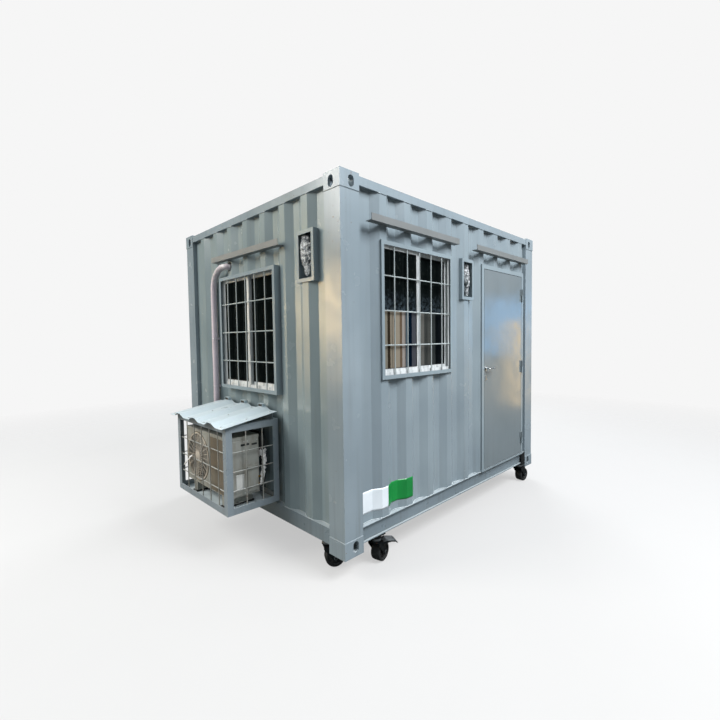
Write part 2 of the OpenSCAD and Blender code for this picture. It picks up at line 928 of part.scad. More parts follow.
// Sheet box through the wall, open at the front, with a lip and a sloping sill
module niche_box() {
  sill_rise = niche_lip + 20;
  ring(niche_w, niche_h, niche_lip, niche_lip, niche_lip, -niche_out, niche_t - niche_out);
  ring(niche_w, niche_h, niche_t, niche_t, niche_t, -niche_out, lining_in);
  block(niche_w, niche_h, lining_in - niche_t, lining_in);
  translate([niche_t / 2, 0, 0]) rotate([90, 0, 90]) linear_extrude(niche_w - niche_t)
    polygon([[-niche_out, niche_lip - niche_t], [lining_in - niche_t / 2, sill_rise - niche_t],
             [lining_in - niche_t / 2, sill_rise], [-niche_out, niche_lip]]);
}

module niche_boxes() {
  color("#9aa7ad") in_frame() {
    at_side_niche() niche_box();
    at_end_niche() niche_box();
  }
}

// Wall socket with a plug hanging from its slanted collar
module niche_socket() {
  body_w = socket_w * 0.76;
  body_h = socket_h * 0.55;
  body_front = socket_t + socket_body;
  slant_angle = 22;
  translate([niche_w / 2, lining_in - niche_t - seat, niche_h - niche_lip - socket_h * 1.2]) {
    translate([-socket_w / 2, -socket_t, 0]) cube([socket_w, socket_t, socket_h]);
    translate([-body_w / 2, -body_front, socket_h * 0.37]) cube([body_w, socket_body, body_h]);
    translate([0, -body_front + socket_body / 3, socket_h * 0.45]) rotate([180 - slant_angle, 0, 0])
      rotate_extrude() polygon([
        [0, -plug_l * 0.05], [plug_r * 0.85, -plug_l * 0.05], [plug_r * 0.85, plug_l * 0.16],
        [plug_r * 1.15, plug_l * 0.16], [plug_r * 1.15, plug_l * 0.37], [plug_r, plug_l * 0.37],
        [plug_r, plug_l * 0.84], [plug_r * 0.6, plug_l], [0, plug_l]]);
  }
}

module niche_sockets() {
  color("#6b767c") in_frame() {
    at_side_niche() niche_socket();
    at_end_niche() niche_socket();
  }
}

// ---------------------------------------------------------------- door

frame_h = door_top - rail_top;
leaf_w = door_w - 2 * jamb_face - 2 * door_gap;
leaf_z = rail_top + sill_h + door_gap;
leaf_h = door_top - jamb_face - door_gap - leaf_z;
leaf_x = door_x + jamb_face + door_gap;
leaf_back = leaf_t - door_out;

// One folded layer of the frame, open at the bottom
module jamb_layer(from, to, v0, v1) {
  difference() {
    translate([from, 0, 0]) block(door_w - 2 * from, frame_h - from, v0, v1);
    translate([to, 0, -cut]) block(door_w - 2 * to, frame_h - to + cut, v0 - cut, v1 + cut);
  }
}

module door_frame() {
  stop_v = leaf_back + door_gap;
  stop_edge = jamb_face + stop_w;
  color("#97a4ab") in_frame() at_door() {
    jamb_layer(0, jamb_face, -door_out, jamb_t - door_out);
    jamb_layer(0, jamb_t, -door_out, lining_in);
    jamb_layer(jamb_face - jamb_t, jamb_face, -door_out, stop_v + jamb_t);
    jamb_layer(jamb_face - jamb_t, stop_edge, stop_v, stop_v + jamb_t);
    jamb_layer(stop_edge - jamb_t, stop_edge, stop_v, lining_in);
    jamb_layer(0, stop_edge, lining_in - jamb_t, lining_in);
    block(door_w, sill_h, -door_out, lining_in);
  }
}

hinge_x = door_x + door_w - jamb_face - door_gap / 2;
hinge_y = -door_out - hinge_off;
hinge_levels = [hinge_low, hinge_mid, door_top - hinge_top_drop];
hinge_half = hinge_h / 2;
flap_w = 26;
flap_t = 5;

// Half a hinge: a barrel and a flap on the face beside it
module hinge_knuckle(side) {
  cylinder(r = hinge_r, h = hinge_half);
  translate([side > 0 ? 0 : -flap_w, hinge_off - flap_t, 0]) cube([flap_w, flap_t - seat, hinge_half]);
}

module door_hinge_pins() {
  color(dark_steel) in_frame()
    for (z = hinge_levels) translate([hinge_x, hinge_y, z - hinge_half]) {
      hinge_knuckle(1);
      cylinder(r = hinge_pin_r, h = hinge_h - 4);
    }
}

module door_hinge_barrels() {
  color(dark_steel) in_frame()
    for (z = hinge_levels) translate([hinge_x, hinge_y, z + 0.5]) difference() {
      hinge_knuckle(-1);
      translate([0, 0, -cut]) cylinder(r = hinge_pin_r + pin_gap, h = hinge_half + 2 * cut);
    }
}

// Flush leaf: two skins and an edge, hollow between, bored for the spindle
module door_leaf() {
  color("#a2afb5") in_frame() difference() {
    translate([leaf_x, -door_out, leaf_z]) cube([leaf_w, leaf_t, leaf_h]);
    translate([leaf_x + leaf_skin, leaf_skin - door_out, leaf_z + leaf_skin])
      cube([leaf_w - 2 * leaf_skin, leaf_t - 2 * leaf_skin, leaf_h - 2 * leaf_skin]);
    at_lever() translate([0, -cut, 0]) rotate([-90, 0, 0])
      cylinder(r = spindle_r + 0.5, h = leaf_t + 2 * cut);
  }
}

module at_lever() {
  translate([leaf_x + lever_edge, -door_out, lever_z]) children();
}

hub_gap = 6; // from the face of the leaf to the hub, clear of the rose

// Lever arm on one face, pointing to the hinges
module lever_arm() {
  translate([0, -hub_gap, 0]) rotate([90, 0, 0]) cylinder(r = lever_r, h = lever_out - lever_r - hub_gap);
  translate([0, lever_r - lever_out, 0]) {
    sphere(r = lever_r);
    rotate([0, 90, 0]) cylinder(r = lever_r, h = lever_l - lever_r);
    translate([lever_l - lever_r, 0, 0]) sphere(r = lever_r);
  }
}

module door_lever() {
  color("#b4b8b9") in_frame() at_lever() {
    translate([0, -hub_gap - cut, 0]) rotate([-90, 0, 0])
      cylinder(r = spindle_r, h = leaf_t + 2 * hub_gap + 2 * cut);
    lever_arm();
    translate([0, leaf_t, 0]) mirror([0, 1, 0]) lever_arm();
  }
}

// Rose behind the lever and an oval plate round the key slot
module door_lock() {
  color("#a9adad") in_frame() at_lever() {
    rotate([90, 0, 0]) difference() {
      cylinder(r = rose_r, h = 5);
      translate([0, 0, -cut]) cylinder(r = spindle_r + 0.5, h = 5 + 2 * cut);
    }
    translate([0, 0, -key_drop]) rotate([90, 0, 0]) rotate([0, 0, 90]) difference() {
      slot(52, 24, 4);
      translate([0, 0, 1]) slot(12, 3, 4);
    }
  }
}

// ---------------------------------------------------------------- cage

cage_d = cage_out + crest_inset - seat;

// A flat rectangular loop in plan
module plan_loop(w, d, m, h) {
  difference() {
    cube([w, d, h]);
    translate([m, m, -cut]) cube([w - 2 * m, d - 2 * m, h + 2 * cut]);
  }
}

// Angle-iron box: loops at top and bottom, a post in each corner and a ledger for the roof
module cage_frame() {
  color("#7d898d") in_frame() at_cage() {
    plan_loop(cage_w, cage_d, cage_leg, cage_t);
    plan_loop(cage_w, cage_d, cage_t, cage_leg);
    translate([0, 0, cage_h - cage_t]) plan_loop(cage_w, cage_d, cage_leg, cage_t);
    translate([0, 0, cage_h - cage_leg]) plan_loop(cage_w, cage_d, cage_t, cage_leg);
    for (fx = [0, 1], fy = [0, 1])
      translate([fx * cage_w, fy * cage_d, 0]) mirror([fx, 0, 0]) mirror([0, fy, 0]) {
        cube([cage_leg, cage_t, cage_h]);
        cube([cage_t, cage_leg, cage_h]);
      }
    translate([0, cage_d - cage_leg, cage_h - cage_t])
      cube([cage_w, cage_t, hood_at(cage_out - cage_d + cage_leg) - cage_h + cage_t - seat]);
  }
}

// Welded mesh of round bars in a w by h face, drawn in the xz plane
module mesh(w, h, uprights) {
  for (i = [1 : uprights])
    translate([w - i * cage_upright_pitch, 0, 0]) rod(cage_rod_d, h);
  for (i = [0 : cage_levels - 1])
    translate([0, cage_rod_d * 0.7, mesh_first + i * cage_level_pitch])
      rotate([0, 90, 0]) rod(cage_rod_d, w);
}

mesh_in = cage_t + cage_rod_d / 2 + seat;
mesh_h = cage_h - 2 * cage_t - 2 * seat - cage_floor_t;
mesh_z = cage_t + cage_floor_t + seat;
mesh_first = 163; // lowest level bar above the foot of a mesh

module cage_front_grille() {
  color(dark_steel) in_frame() at_cage()
    translate([cage_t + seat, mesh_in, mesh_z])
      mesh(cage_w - 2 * cage_t - 2 * seat, mesh_h, cage_uprights);
}

// Side meshes, between the front mesh and the wall posts
module cage_side_grilles() {
  start = mesh_in + cage_rod_d * 1.5 + 2;
  l = cage_d - start - cage_t - seat;
  color(dark_steel) in_frame() at_cage()
    for (side = [0, 1])
      translate([side * cage_w, 0, 0]) mirror([side, 0, 0])
        translate([mesh_in, start + l, mesh_z]) rotate([0, 0, -90])
          mesh(l, mesh_h, cage_side_uprights);
}

module cage_floor() {
  color("#aab2b2") in_frame() at_cage()
    translate([cage_t + seat, cage_t + seat, cage_t])
      cube([cage_w - 2 * cage_t - 2 * seat, cage_d - 2 * cage_t - 2 * seat, cage_floor_t]);
}

// Underside of the roof sheet's valleys at a distance out from the casting faces
hood_tilt = atan((hood_rise - seat) / (cage_out - hood_gap));
function hood_at(out) = cage_h + seat + (cage_out - out) * tan(hood_tilt);

module cage_roof_sheet() {
  hood_l = (hood_out - hood_gap - (hood_wave + hood_t) * sin(hood_tilt)) / cos(hood_tilt);
  crest = 60;
  slope = 60;
  ribs = floor((hood_w - crest - 2 * slope) / hood_pitch);
  first = (hood_w - ribs * hood_pitch) / 2;
  color("#c6d5da") in_frame() on_unit_end()
    translate([box_w - hood_y - hood_w, -hood_gap, cage_z + hood_at(hood_gap)])
      rotate([hood_tilt, 0, 0]) rotate([90, 0, 0]) linear_extrude(hood_l)
        translate([0, hood_wave + hood_t]) mirror([0, 1])
          wave_profile(hood_w, first, hood_pitch, crest, slope, hood_wave, hood_t);
}

// ---------------------------------------------------------------- cooling unit

module at_unit() {
  at_cage() translate([cage_w - unit_side - unit_w, unit_in, cage_t + cage_floor_t]) children();
}

module unit_case() {
  color("#9b9a8c") in_frame() at_unit() {
    translate([0, 0, unit_foot]) difference() {
      cube([unit_w, unit_d, unit_h]);
      translate([fan_r + fan_in, -cut, unit_h / 2]) rotate([-90, 0, 0]) cylinder(r = fan_r, h = 30 + cut);
    }
    for (x = [foot_in, unit_w - foot_in - foot_w])
      translate([x, 12, 0]) cube([foot_w, unit_d - 24, unit_foot + cut]);
    translate([fan_r + fan_in, 12, unit_foot + unit_h / 2]) rotate([-90, 0, 0]) cylinder(r = fan_hub, h = 30);
  }
}

// Rings and radial wires over the fan
module unit_fan_guard() {
  wire = 4;
  color("#8f8e82") in_frame() at_unit()
    translate([fan_r + fan_in, 0, unit_foot + unit_h / 2]) rotate([90, 0, 0])
      translate([0, 0, seat]) {
        difference() {
          cylinder(r = fan_r + 8, h = wire);
          translate([0, 0, -cut]) cylinder(r = fan_r - 2, h = wire + 2 * cut);
        }
        cylinder(r = 46, h = wire);
        for (i = [0 : 23]) rotate([0, 0, i * 15]) translate([40, -wire / 2, 0])
          cube([fan_r - 38, wire, wire]);
      }
}

module unit_valve_cover() {
  color("#a5a497") in_frame() at_unit()
    translate([unit_w + seat, unit_d - cover_w - 20, unit_foot + 30])
      cube([cover_out, cover_w, cover_h]);
}

// ---------------------------------------------------------------- refrigerant line

// Centre line of a bend that starts at p along the unit vector h and turns towards t
function bend(p, h, t, radius, turn, steps) = [
  for (i = [0 : steps]) p + radius * (h * sin(turn * i / steps) + t * (1 - cos(turn * i / steps)))
];

function unit(v) = v / norm(v);

// Ring of points round a centre line's point, square to its direction
function line_ring(p, along) =
  let (side = unit(cross(along, [0, 3, 4])), up = cross(side, along))
    [for (i = [0 : line_side_count - 1])
      p + line_r * (side * cos(i * 360 / line_side_count) + up * sin(i * 360 / line_side_count))];

// Round bar swept along a list of points
module sweep(path) {
  last = len(path) - 1;
  n = line_side_count;
  rings = [for (i = [0 : last]) line_ring(path[i], unit(path[min(i + 1, last)] - path[max(i - 1, 0)]))];
  polyhedron(
    points = [for (r = rings) each r],
    faces = concat(
      [[for (i = [0 : n - 1]) i]],
      [for (k = [0 : last - 1], i = [0 : n - 1])
        each [[k * n + i, (k + 1) * n + i, k * n + (i + 1) % n],
              [k * n + (i + 1) % n, (k + 1) * n + i, (k + 1) * n + (i + 1) % n]]],
      [[for (i = [n - 1 : -1 : 0]) last * n + i]]
    )
  );
}

line_side_count = 20;
line_x = box_w - line_drop_y;
line_hole_x = box_w - line_hole_y;
line_end_x = box_w - cage_y - line_end_in;
line_low_z = cage_z + line_enter_z;
line_swing_angle = 40; // the way in slants by this much to reach the run behind the unit
line_slant = (line_in - line_out - line_tight * (sin(line_swing_angle) + 1 - cos(line_swing_angle)))
  / sin(line_swing_angle);

// Hole in the wall skin where the line comes out
module line_hole() {
  on_unit_end() translate([line_hole_x - 4, -cut, line_hole_z])
    rotate([-90, 0, 0]) cylinder(r = line_r + 10, h = wall_back);
}

// Out of the wall, over into the drop, in behind the unit, along it and down to its valves
module refrigerant_line() {
  slanting = [cos(line_swing_angle), -sin(line_swing_angle), 0];
  reach = (line_tight + line_slant) * slanting;
  path = concat(
    [[line_hole_x, lining_out - seat, line_hole_z]],
    bend([line_hole_x, line_tight - line_out, line_hole_z], [0, -1, 0], [-1, 0, 0], line_tight, 90, 8),
    bend([line_x + line_bend, -line_out, line_hole_z], [-1, 0, 0], [0, 0, -1], line_bend, 90, 14),
    bend([line_x, -line_out, line_low_z + line_tight], [0, 0, -1], slanting, line_tight, 90, 8),
    bend([line_x + reach[0], reach[1] - line_out, line_low_z],
         slanting, [sin(line_swing_angle), cos(line_swing_angle), 0], line_tight, line_swing_angle, 4),
    bend([line_end_x - line_tight, -line_in, line_low_z], [1, 0, 0], [0, 0, -1], line_tight, 90, 8),
    [[line_end_x, -line_in, line_low_z - line_tight - line_end_l]]
  );
  color("#b8aab0") in_frame() on_unit_end() {
    sweep(path);
    for (i = [0 : line_clips - 1]) line_clip(line_clip_z + i * line_clip_pitch);
  }
}

// Saddle block between the drop and the crest behind it
module line_clip(z) {
  front = line_r - line_out - clip_bite;
  translate([line_x - clip_w / 2, front, z]) cube([clip_w, crest_inset - seat - front, clip_h]);
}

// ---------------------------------------------------------------- castors

rail_under = ground_gap + rail_z; // underside of the rails above the ground
crown_z = rail_under - crown_drop;
race_z = rail_under - race_drop;
fork_in = wheel_w / 2 + 6;

// [x, y, heading of the trail, braked, turn of the mounting plate]
castor_spots = [
  [near_castor_x, castor_in, 11, true, 0],
  [box_l - far_castor_x, castor_in, -6, false, 0],
  [end_castor_in, end_castor_y, -30, false, 90],
  [near_castor_x, box_w - castor_in, -11, true, 0],
  [box_l - far_castor_x, box_w - castor_in, 6, false, 0],
  [end_castor_in, box_w - end_castor_y, 30, false, 90]
];

// Places a castor on the ground under its swivel axis
module at_castor(i) {
  in_frame() translate([castor_spots[i][0], castor_spots[i][1], -ground_gap]) children();
}

module castor_mount() {
  translate([-mount_l / 2, -castor_in + 2, rail_under - plate_t])
    cube([mount_l, 2 * castor_in - 4, plate_t]);
  translate([0, 0, race_z + 0.5]) cylinder(r = race_r - 4, h = rail_under - plate_t - race_z);
  translate([0, 0, crown_z - 8]) cylinder(r = king_r, h = rail_under - crown_z);
  translate([0, 0, crown_z - 8]) cylinder(r = 14, h = 7);
}

// Plates over the lips of the side rails, between the far castors and the castings
module rail_stiffeners() {
  for (y = [crest_inset - stiffener_t, box_w - crest_inset])
    translate([box_l - casting_l - stiffener_gap - stiffener_w, y, rail_z - stiffener_drop])
      cube([stiffener_w, stiffener_t, rail_h + stiffener_drop]);
}

module castor_plates() {
  color(dark_steel) {
    for (i = [0 : 5]) at_castor(i) rotate([0, 0, castor_spots[i][4]]) castor_mount();
    in_frame() rail_stiffeners();
  }
}

// Cheek of the fork: broad at the crown, round at the axle
module fork_cheek() {
  boss = 20;
  rotate([90, 0, 0]) linear_extrude(fork_t, center = true) {
    translate([trail, wheel_r]) circle(r = boss);
    polygon([[-crown_ahead, crown_z], [-crown_ahead, crown_z - 12],
             [trail - boss * 0.87, wheel_r - boss * 0.5], [trail + boss * 0.98, wheel_r + boss * 0.2],
             [crown_l - crown_ahead, crown_z - 12], [crown_l - crown_ahead, crown_z]]);
  }
}

module castor_bracket(i) {
  color(dark_steel) at_castor(i) rotate([0, 0, castor_spots[i][2]]) {
    difference() {
      union() {
        translate([-crown_ahead, -fork_in - fork_t, crown_z]) cube([crown_l, 2 * (fork_in + fork_t), fork_t]);
        translate([0, 0, crown_z]) cylinder(r = race_r, h = race_z - crown_z);
      }
      translate([0, 0, crown_z - cut]) cylinder(r = king_r + pin_gap, h = race_z);
    }
    for (s = [-1, 1]) translate([0, s * (fork_in + fork_t / 2), 0]) fork_cheek();
    translate([trail, 0, wheel_r]) rotate([90, 0, 0])
      cylinder(r = axle_r, h = 2 * fork_in + 2 * fork_t + 10, center = true);
    if (castor_spots[i][3]) rotate([0, 0, castor_spots[i][1] < box_w / 2 ? -pedal_turn : pedal_turn]) brake_pedal();
  }
}

// Pedal out over the wheel, with a cheek along each side
module brake_pedal() {
  low = crown_z - 4;
  rotate([90, 0, 0]) linear_extrude(pedal_w, center = true)
    polygon([[40, crown_z + 2], [pedal_crest, crown_z + 12], [pedal_reach - 12, crown_z + 2],
             [pedal_reach, low - 6], [pedal_reach - 3, low - 8], [pedal_reach - 14, low + 2],
             [pedal_crest, crown_z + 8], [40, crown_z - 2]]);
  for (s = [-1, 1]) translate([0, s * (pedal_w - fork_t) / 2, 0])
    rotate([90, 0, 0]) linear_extrude(fork_t, center = true)
      polygon([[18, crown_z - 3], [44, crown_z - 3], [pedal_cheek, crown_z + 2],
               [pedal_crest, crown_z + 11], [18, crown_z + fork_t]]);
}

// Wheel with a crowned tyre, a dished disc and a hub
module castor_wheel(i) {
  color("#24282a") at_castor(i) rotate([0, 0, castor_spots[i][2]])
    translate([trail, 0, wheel_r]) rotate([90, 0, 0]) difference() {
      rotate_extrude($fn = 64) polygon([
        [axle_r + pin_gap, -wheel_w / 2 - 4], [22, -wheel_w / 2 - 4], [24, -wheel_w / 4],
        [wheel_r - 20, -wheel_w / 4], [wheel_r - 18, -wheel_w / 2], [wheel_r - 9, -wheel_w / 2],
        [wheel_r - 3, -wheel_w / 2 + 6], [wheel_r, -wheel_w / 2 + 20], [wheel_r, wheel_w / 2 - 20],
        [wheel_r - 3, wheel_w / 2 - 6], [wheel_r - 9, wheel_w / 2],
        [wheel_r - 18, wheel_w / 2], [wheel_r - 20, wheel_w / 4],
        [24, wheel_w / 4], [22, wheel_w / 2 + 4], [axle_r + pin_gap, wheel_w / 2 + 4]]);
    }
}

corner_castings();
corner_posts();
top_rails();
bottom_rails();
floor_beams();
floor_deck();
roof_sheet();
ceiling();
front_wall();
front_wall_over_door();
front_wall_beside_door();
back_wall();
unit_end_wall();
far_end_wall();
wall_linings();
window_frames();
window_sashes();
window_glass();
window_grilles();
rain_gutters();
niche_boxes();
niche_sockets();
door_frame();
door_hinge_pins();
door_leaf();
door_hinge_barrels();
door_lever();
door_lock();
cage_frame();
cage_front_grille();
cage_side_grilles();
cage_floor();
cage_roof_sheet();
unit_case();
unit_fan_guard();
unit_valve_cover();
refrigerant_line();
castor_plates();
castor_bracket(0);  // castor_bracket_1
castor_bracket(1);  // castor_bracket_2
castor_bracket(2);  // castor_bracket_3
castor_bracket(3);  // castor_bracket_4
castor_bracket(4);  // castor_bracket_5
castor_bracket(5);  // castor_bracket_6
castor_wheel(0);  // castor_wheel_1
castor_wheel(1);  // castor_wheel_2
castor_wheel(2);  // castor_wheel_3
castor_wheel(3);  // castor_wheel_4
castor_wheel(4);  // castor_wheel_5
castor_wheel(5);  // castor_wheel_6
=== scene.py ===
import json
import math
import bpy
import bmesh
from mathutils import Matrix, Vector, noise


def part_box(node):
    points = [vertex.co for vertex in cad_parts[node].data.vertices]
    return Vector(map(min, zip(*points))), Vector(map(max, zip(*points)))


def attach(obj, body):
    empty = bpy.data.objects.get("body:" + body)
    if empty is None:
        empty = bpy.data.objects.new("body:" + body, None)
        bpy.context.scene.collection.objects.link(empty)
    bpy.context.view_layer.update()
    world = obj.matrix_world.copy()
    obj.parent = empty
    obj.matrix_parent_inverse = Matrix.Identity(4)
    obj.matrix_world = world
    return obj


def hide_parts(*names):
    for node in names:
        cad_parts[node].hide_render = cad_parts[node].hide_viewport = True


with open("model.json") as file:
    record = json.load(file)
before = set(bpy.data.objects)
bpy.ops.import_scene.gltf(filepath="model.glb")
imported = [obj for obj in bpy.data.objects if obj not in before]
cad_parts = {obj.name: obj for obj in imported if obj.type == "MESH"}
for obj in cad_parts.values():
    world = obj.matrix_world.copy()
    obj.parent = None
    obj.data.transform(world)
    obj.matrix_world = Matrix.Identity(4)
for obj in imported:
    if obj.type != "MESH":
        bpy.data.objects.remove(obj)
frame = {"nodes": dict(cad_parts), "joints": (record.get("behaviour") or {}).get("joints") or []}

nodes = frame["nodes"]
joints = {joint["name"]: joint for joint in frame["joints"]}
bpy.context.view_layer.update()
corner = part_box("corner_castings")[0]  # front left bottom corner of the steel box
print("frame loaded,", len(nodes), "nodes")


def at(x, y, z):
    # a place given in millimetres from that corner, in the frame's metres
    return corner + Vector((x, y, z)) / 1000


def inBox(place):
    # a place of the frame in millimetres from that corner
    return (Vector(place) - corner) * 1000


def span(node):
    # lowest and highest corner of a CAD node in millimetres from that corner
    low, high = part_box(node)
    return inBox(low), inBox(high)


def linear(hexColour, strength=1):
    # sRGB hex to the linear colour that the shaders work in
    parts = [int(hexColour[i:i + 2], 16) / 255 for i in (1, 3, 5)]
    bent = [c / 12.92 if c <= 0.04045 else ((c + 0.055) / 1.055) ** 2.4 for c in parts]
    return (*[c * strength for c in bent], 1)


def addNode(tree, kind, inputs=(), give=0, **settings):
    # adds a shader node, sets its options, fills or links its sockets by name or in order and hands back
    # one output; in order a range takes its value, from, from, to and to, and a mix of colours takes the
    # share, what lies below and what lies over it
    if kind == "Mix":
        settings, give, inputs = {"data_type": "RGBA"}, 2, dict(zip((0, 6, 7), inputs))
    node = tree.nodes.new("ShaderNode" + kind)
    for key, value in settings.items():
        setattr(node, key, value)
    for key, value in inputs.items() if isinstance(inputs, dict) else enumerate(inputs):
        if isinstance(value, bpy.types.NodeSocket):
            tree.links.new(value, node.inputs[key])
        else:
            node.inputs[key].default_value = value
    return node.outputs[give]


def startMaterial(name, fixed):
    # a material with its principled shader, the fixed values on it, and the piece's own coordinates
    material = bpy.data.materials.new(name)
    material.use_nodes = True
    tree = material.node_tree
    shader = tree.nodes["Principled BSDF"]
    for key, value in fixed.items():
        shader.inputs[key].default_value = value
    return material, tree, shader, addNode(tree, "TexCoord", give="Object")


def finishMaterial(material, shader, **made):
    # links the colour, roughness and normal that were made to the shader
    for key, value in made.items():
        socket = {"colour": "Base Color", "roughness": "Roughness", "normal": "Normal"}[key]
        material.node_tree.links.new(value, shader.inputs[socket])
    return material


def addObject(name, data):
    # a new object in the scene
    added = bpy.data.objects.new(name, data)
    bpy.context.scene.collection.objects.link(added)
    return added


def evenSteps(first, last, count):
    # evenly spaced values from the first to the last
    return [first + (last - first) * i / count for i in range(count + 1)]


def circle(count, shift=0.0):
    # cosine and sine of even steps round a circle
    return [(math.cos(a), math.sin(a)) for a in (2 * math.pi * (k + shift) / count for k in range(count))]


# camera at the height of a standing person's eyes, off the corner of door side and unit end
view = {
    "place": (-3.0367, -3.1740, 1.6286),
    "angles": (87.32, 0.80, -44.14),
    "lens": 20.35,
    "sensor": 36,
    "shift": (0.0085, -0.0010),
    "farthest": 200,
}
cameraData = bpy.data.cameras.new("camera")
cameraData.lens = view["lens"]
cameraData.sensor_width = view["sensor"]
cameraData.shift_x, cameraData.shift_y = view["shift"]
cameraData.clip_end = view["farthest"]
camera = addObject("camera", cameraData)
camera.location = view["place"]
camera.rotation_euler = [math.radians(a) for a in view["angles"]]
bpy.context.scene.camera = camera

# soft studio light: what the camera sees behind is plain white; what the paint mirrors is a dark yard,
# a sky in two bands (colour, strength, sine of the height where it begins and is full) and soft cards
# (degrees round, degrees up, softness, colour, strength); lamps are place, aim, watts and colour
studio = {
    "seen": "#f6f6f6",
    "yard": ("#6a6c6b", 0.75),
    "sky": [("#d9dee2", 0.45, -0.10, -0.02), ("#e6edf4", 0.85, 0.0, 0.8)],
    "cards": {
        "darkBehindUnit": ((96, 133), (-12, 24), 10, "#1c2224", 0.5),
        "darkByWindow": ((-52, -30), (-6, 16), 6, "#15191b", 0.4),
        "whiteByPost": ((-46.2, -44.4), (-7, -1), 1.2, "#f2f6fa", 1.8),
        "skyOnDoor": ((-30, -21), (-2.2, 5.2), 1.4, "#8abcec", 3.0),
        "greyOnDoor": ((-30, -21), (-14, -2.6), 1.0, "#b5a790", 1.5),
        "beigeOnDoor": ((-25.4, -22.6), (-9, 2.2), 0.4, "#ecc98c", 3.6),
        "sunlitByCorner": ((130.6, 134.0), (-0.8, 9.5), 1.4, "#ffdca0", 36),
        "sunlitLow": ((127.5, 133.6), (-6, 0), 3, "#ffe0ac", 5),
        "sunlitHigh": ((125.6, 128.2), (12, 19), 2.4, "#f3e6b4", 6),
    },
    "floor": {"reach": 20, "pale": "#7a7a79", "cloud": "#787877", "clouds": 3, "dim": "#5c5e5d",
              "glow": 0.52, "fade": (4.5, 9.5)},
    "lampSize": 3.6,
    "lamps": {
        "doorSide": ((0.6, -5.9, 7.0), (0.0, -1.2, 1.3), 930, "#fbfcff"),
        "unitSide": ((-6.8, 3.0, 6.0), (-1.2, 0.0, 1.3), 600, "#fffcf6"),
        "behind": ((6.4, 3.4, 6.0), (0.4, 0.4, 1.3), 520, "#fbfcff"),
    },
}
bpy.context.scene.view_settings.view_transform = "Standard"
world = bpy.data.worlds.new("studio")
world.use_nodes = True
tree = world.node_tree
direction = addNode(tree, "TexCoord", give="Generated")
split = addNode(tree, "SeparateXYZ", {"Vector": direction}).node
mirrored = linear(*studio["yard"])
for colour, strength, begins, full in studio["sky"]:
    risen = addNode(tree, "MapRange", [split.outputs[2], begins, full])
    mirrored = addNode(tree, "Mix", [risen, mirrored, linear(colour, strength)])
azimuth = addNode(tree, "Math", [split.outputs[1], split.outputs[0]], operation="ARCTAN2")
lift = addNode(tree, "Math", [split.outputs[2]], operation="ARCSINE")
for around, upward, soft, colour, strength in studio["cards"].values():
    share = 1
    for value, ends in ((azimuth, around), (lift, upward)):
        for end, half in ((ends[0], soft / 2), (ends[1], -soft / 2)):
            first, last = end - half, end + half
            edge = addNode(tree, "MapRange", [value, math.radians(first), math.radians(last)],
                           interpolation_type="SMOOTHSTEP")
            share = addNode(tree, "Math", [edge, share], operation="MULTIPLY")
    mirrored = addNode(tree, "Mix", [share, mirrored, linear(colour, strength)])
seen = addNode(tree, "LightPath", give="Is Camera Ray")
shown = addNode(tree, "Mix", [seen, mirrored, linear(studio["seen"])])
tree.links.new(shown, tree.nodes["Background"].inputs["Color"])
bpy.context.scene.world = world
for name, (place, aim, watts, colour) in studio["lamps"].items():
    lamp = bpy.data.lights.new(name, "AREA")
    lamp.size = studio["lampSize"]
    lamp.energy = watts
    lamp.color = linear(colour)[:3]
    lampObject = addObject(name, lamp)
    lampObject.location = place
    lampObject.rotation_euler = (Vector(aim) - Vector(place)).to_track_quat("-Z", "Y").to_euler()

# matt floor that fades into the white behind it; light that bounces off it is weak, as off asphalt
look = studio["floor"]
reach = look["reach"]
floorMesh = bpy.data.meshes.new("floor")
floorMesh.from_pydata([(-reach, -reach, 0), (reach, -reach, 0), (reach, reach, 0), (-reach, reach, 0)],
                      [], [(0, 1, 2, 3)])
floor = addObject("floor", floorMesh)
material, tree, shader, place = startMaterial("matt white studio floor",
                                              {"Roughness": 0.95, "Emission Color": linear("#ffffff")})
away = addNode(tree, "VectorMath", [place], "Value", operation="LENGTH")
fade = addNode(tree, "MapRange", [away, look["fade"][0], look["fade"][1], 1, 0])
tree.links.new(fade, shader.inputs["Alpha"])
cloud = addNode(tree, "TexNoise", {"Vector": place, "Scale": look["clouds"]})
pale = addNode(tree, "Mix", [cloud, linear(look["pale"]), linear(look["cloud"])])
seen = addNode(tree, "LightPath", give="Is Camera Ray")
pale = addNode(tree, "Mix", [seen, linear(look["dim"]), pale])
glow = addNode(tree, "Math", [seen, look["glow"]], operation="MULTIPLY")
tree.links.new(glow, shader.inputs["Emission Strength"])
floorMesh.materials.append(finishMaterial(material, shader, colour=pale))
print("camera, light and floor ready")


# mesh kit

def addBlock(bm, low, high):
    corners = [at(x, y, z) for x in (low[0], high[0]) for y in (low[1], high[1]) for z in (low[2], high[2])]
    points = [bm.verts.new(p) for p in corners]
    for face in ((0, 1, 3, 2), (4, 6, 7, 5), (0, 4, 5, 1), (2, 3, 7, 6), (0, 2, 6, 4), (1, 5, 7, 3)):
        bm.faces.new([points[i] for i in face])


def addSkin(bm, rows, closed=False):
    # faces between neighbouring rows of points, which are rings where closed
    for first, second in zip(rows, rows[1:]):
        for k in range(len(first) - (not closed)):
            n = (k + 1) % len(first)
            bm.faces.new((first[k], first[n], second[n], second[k]))


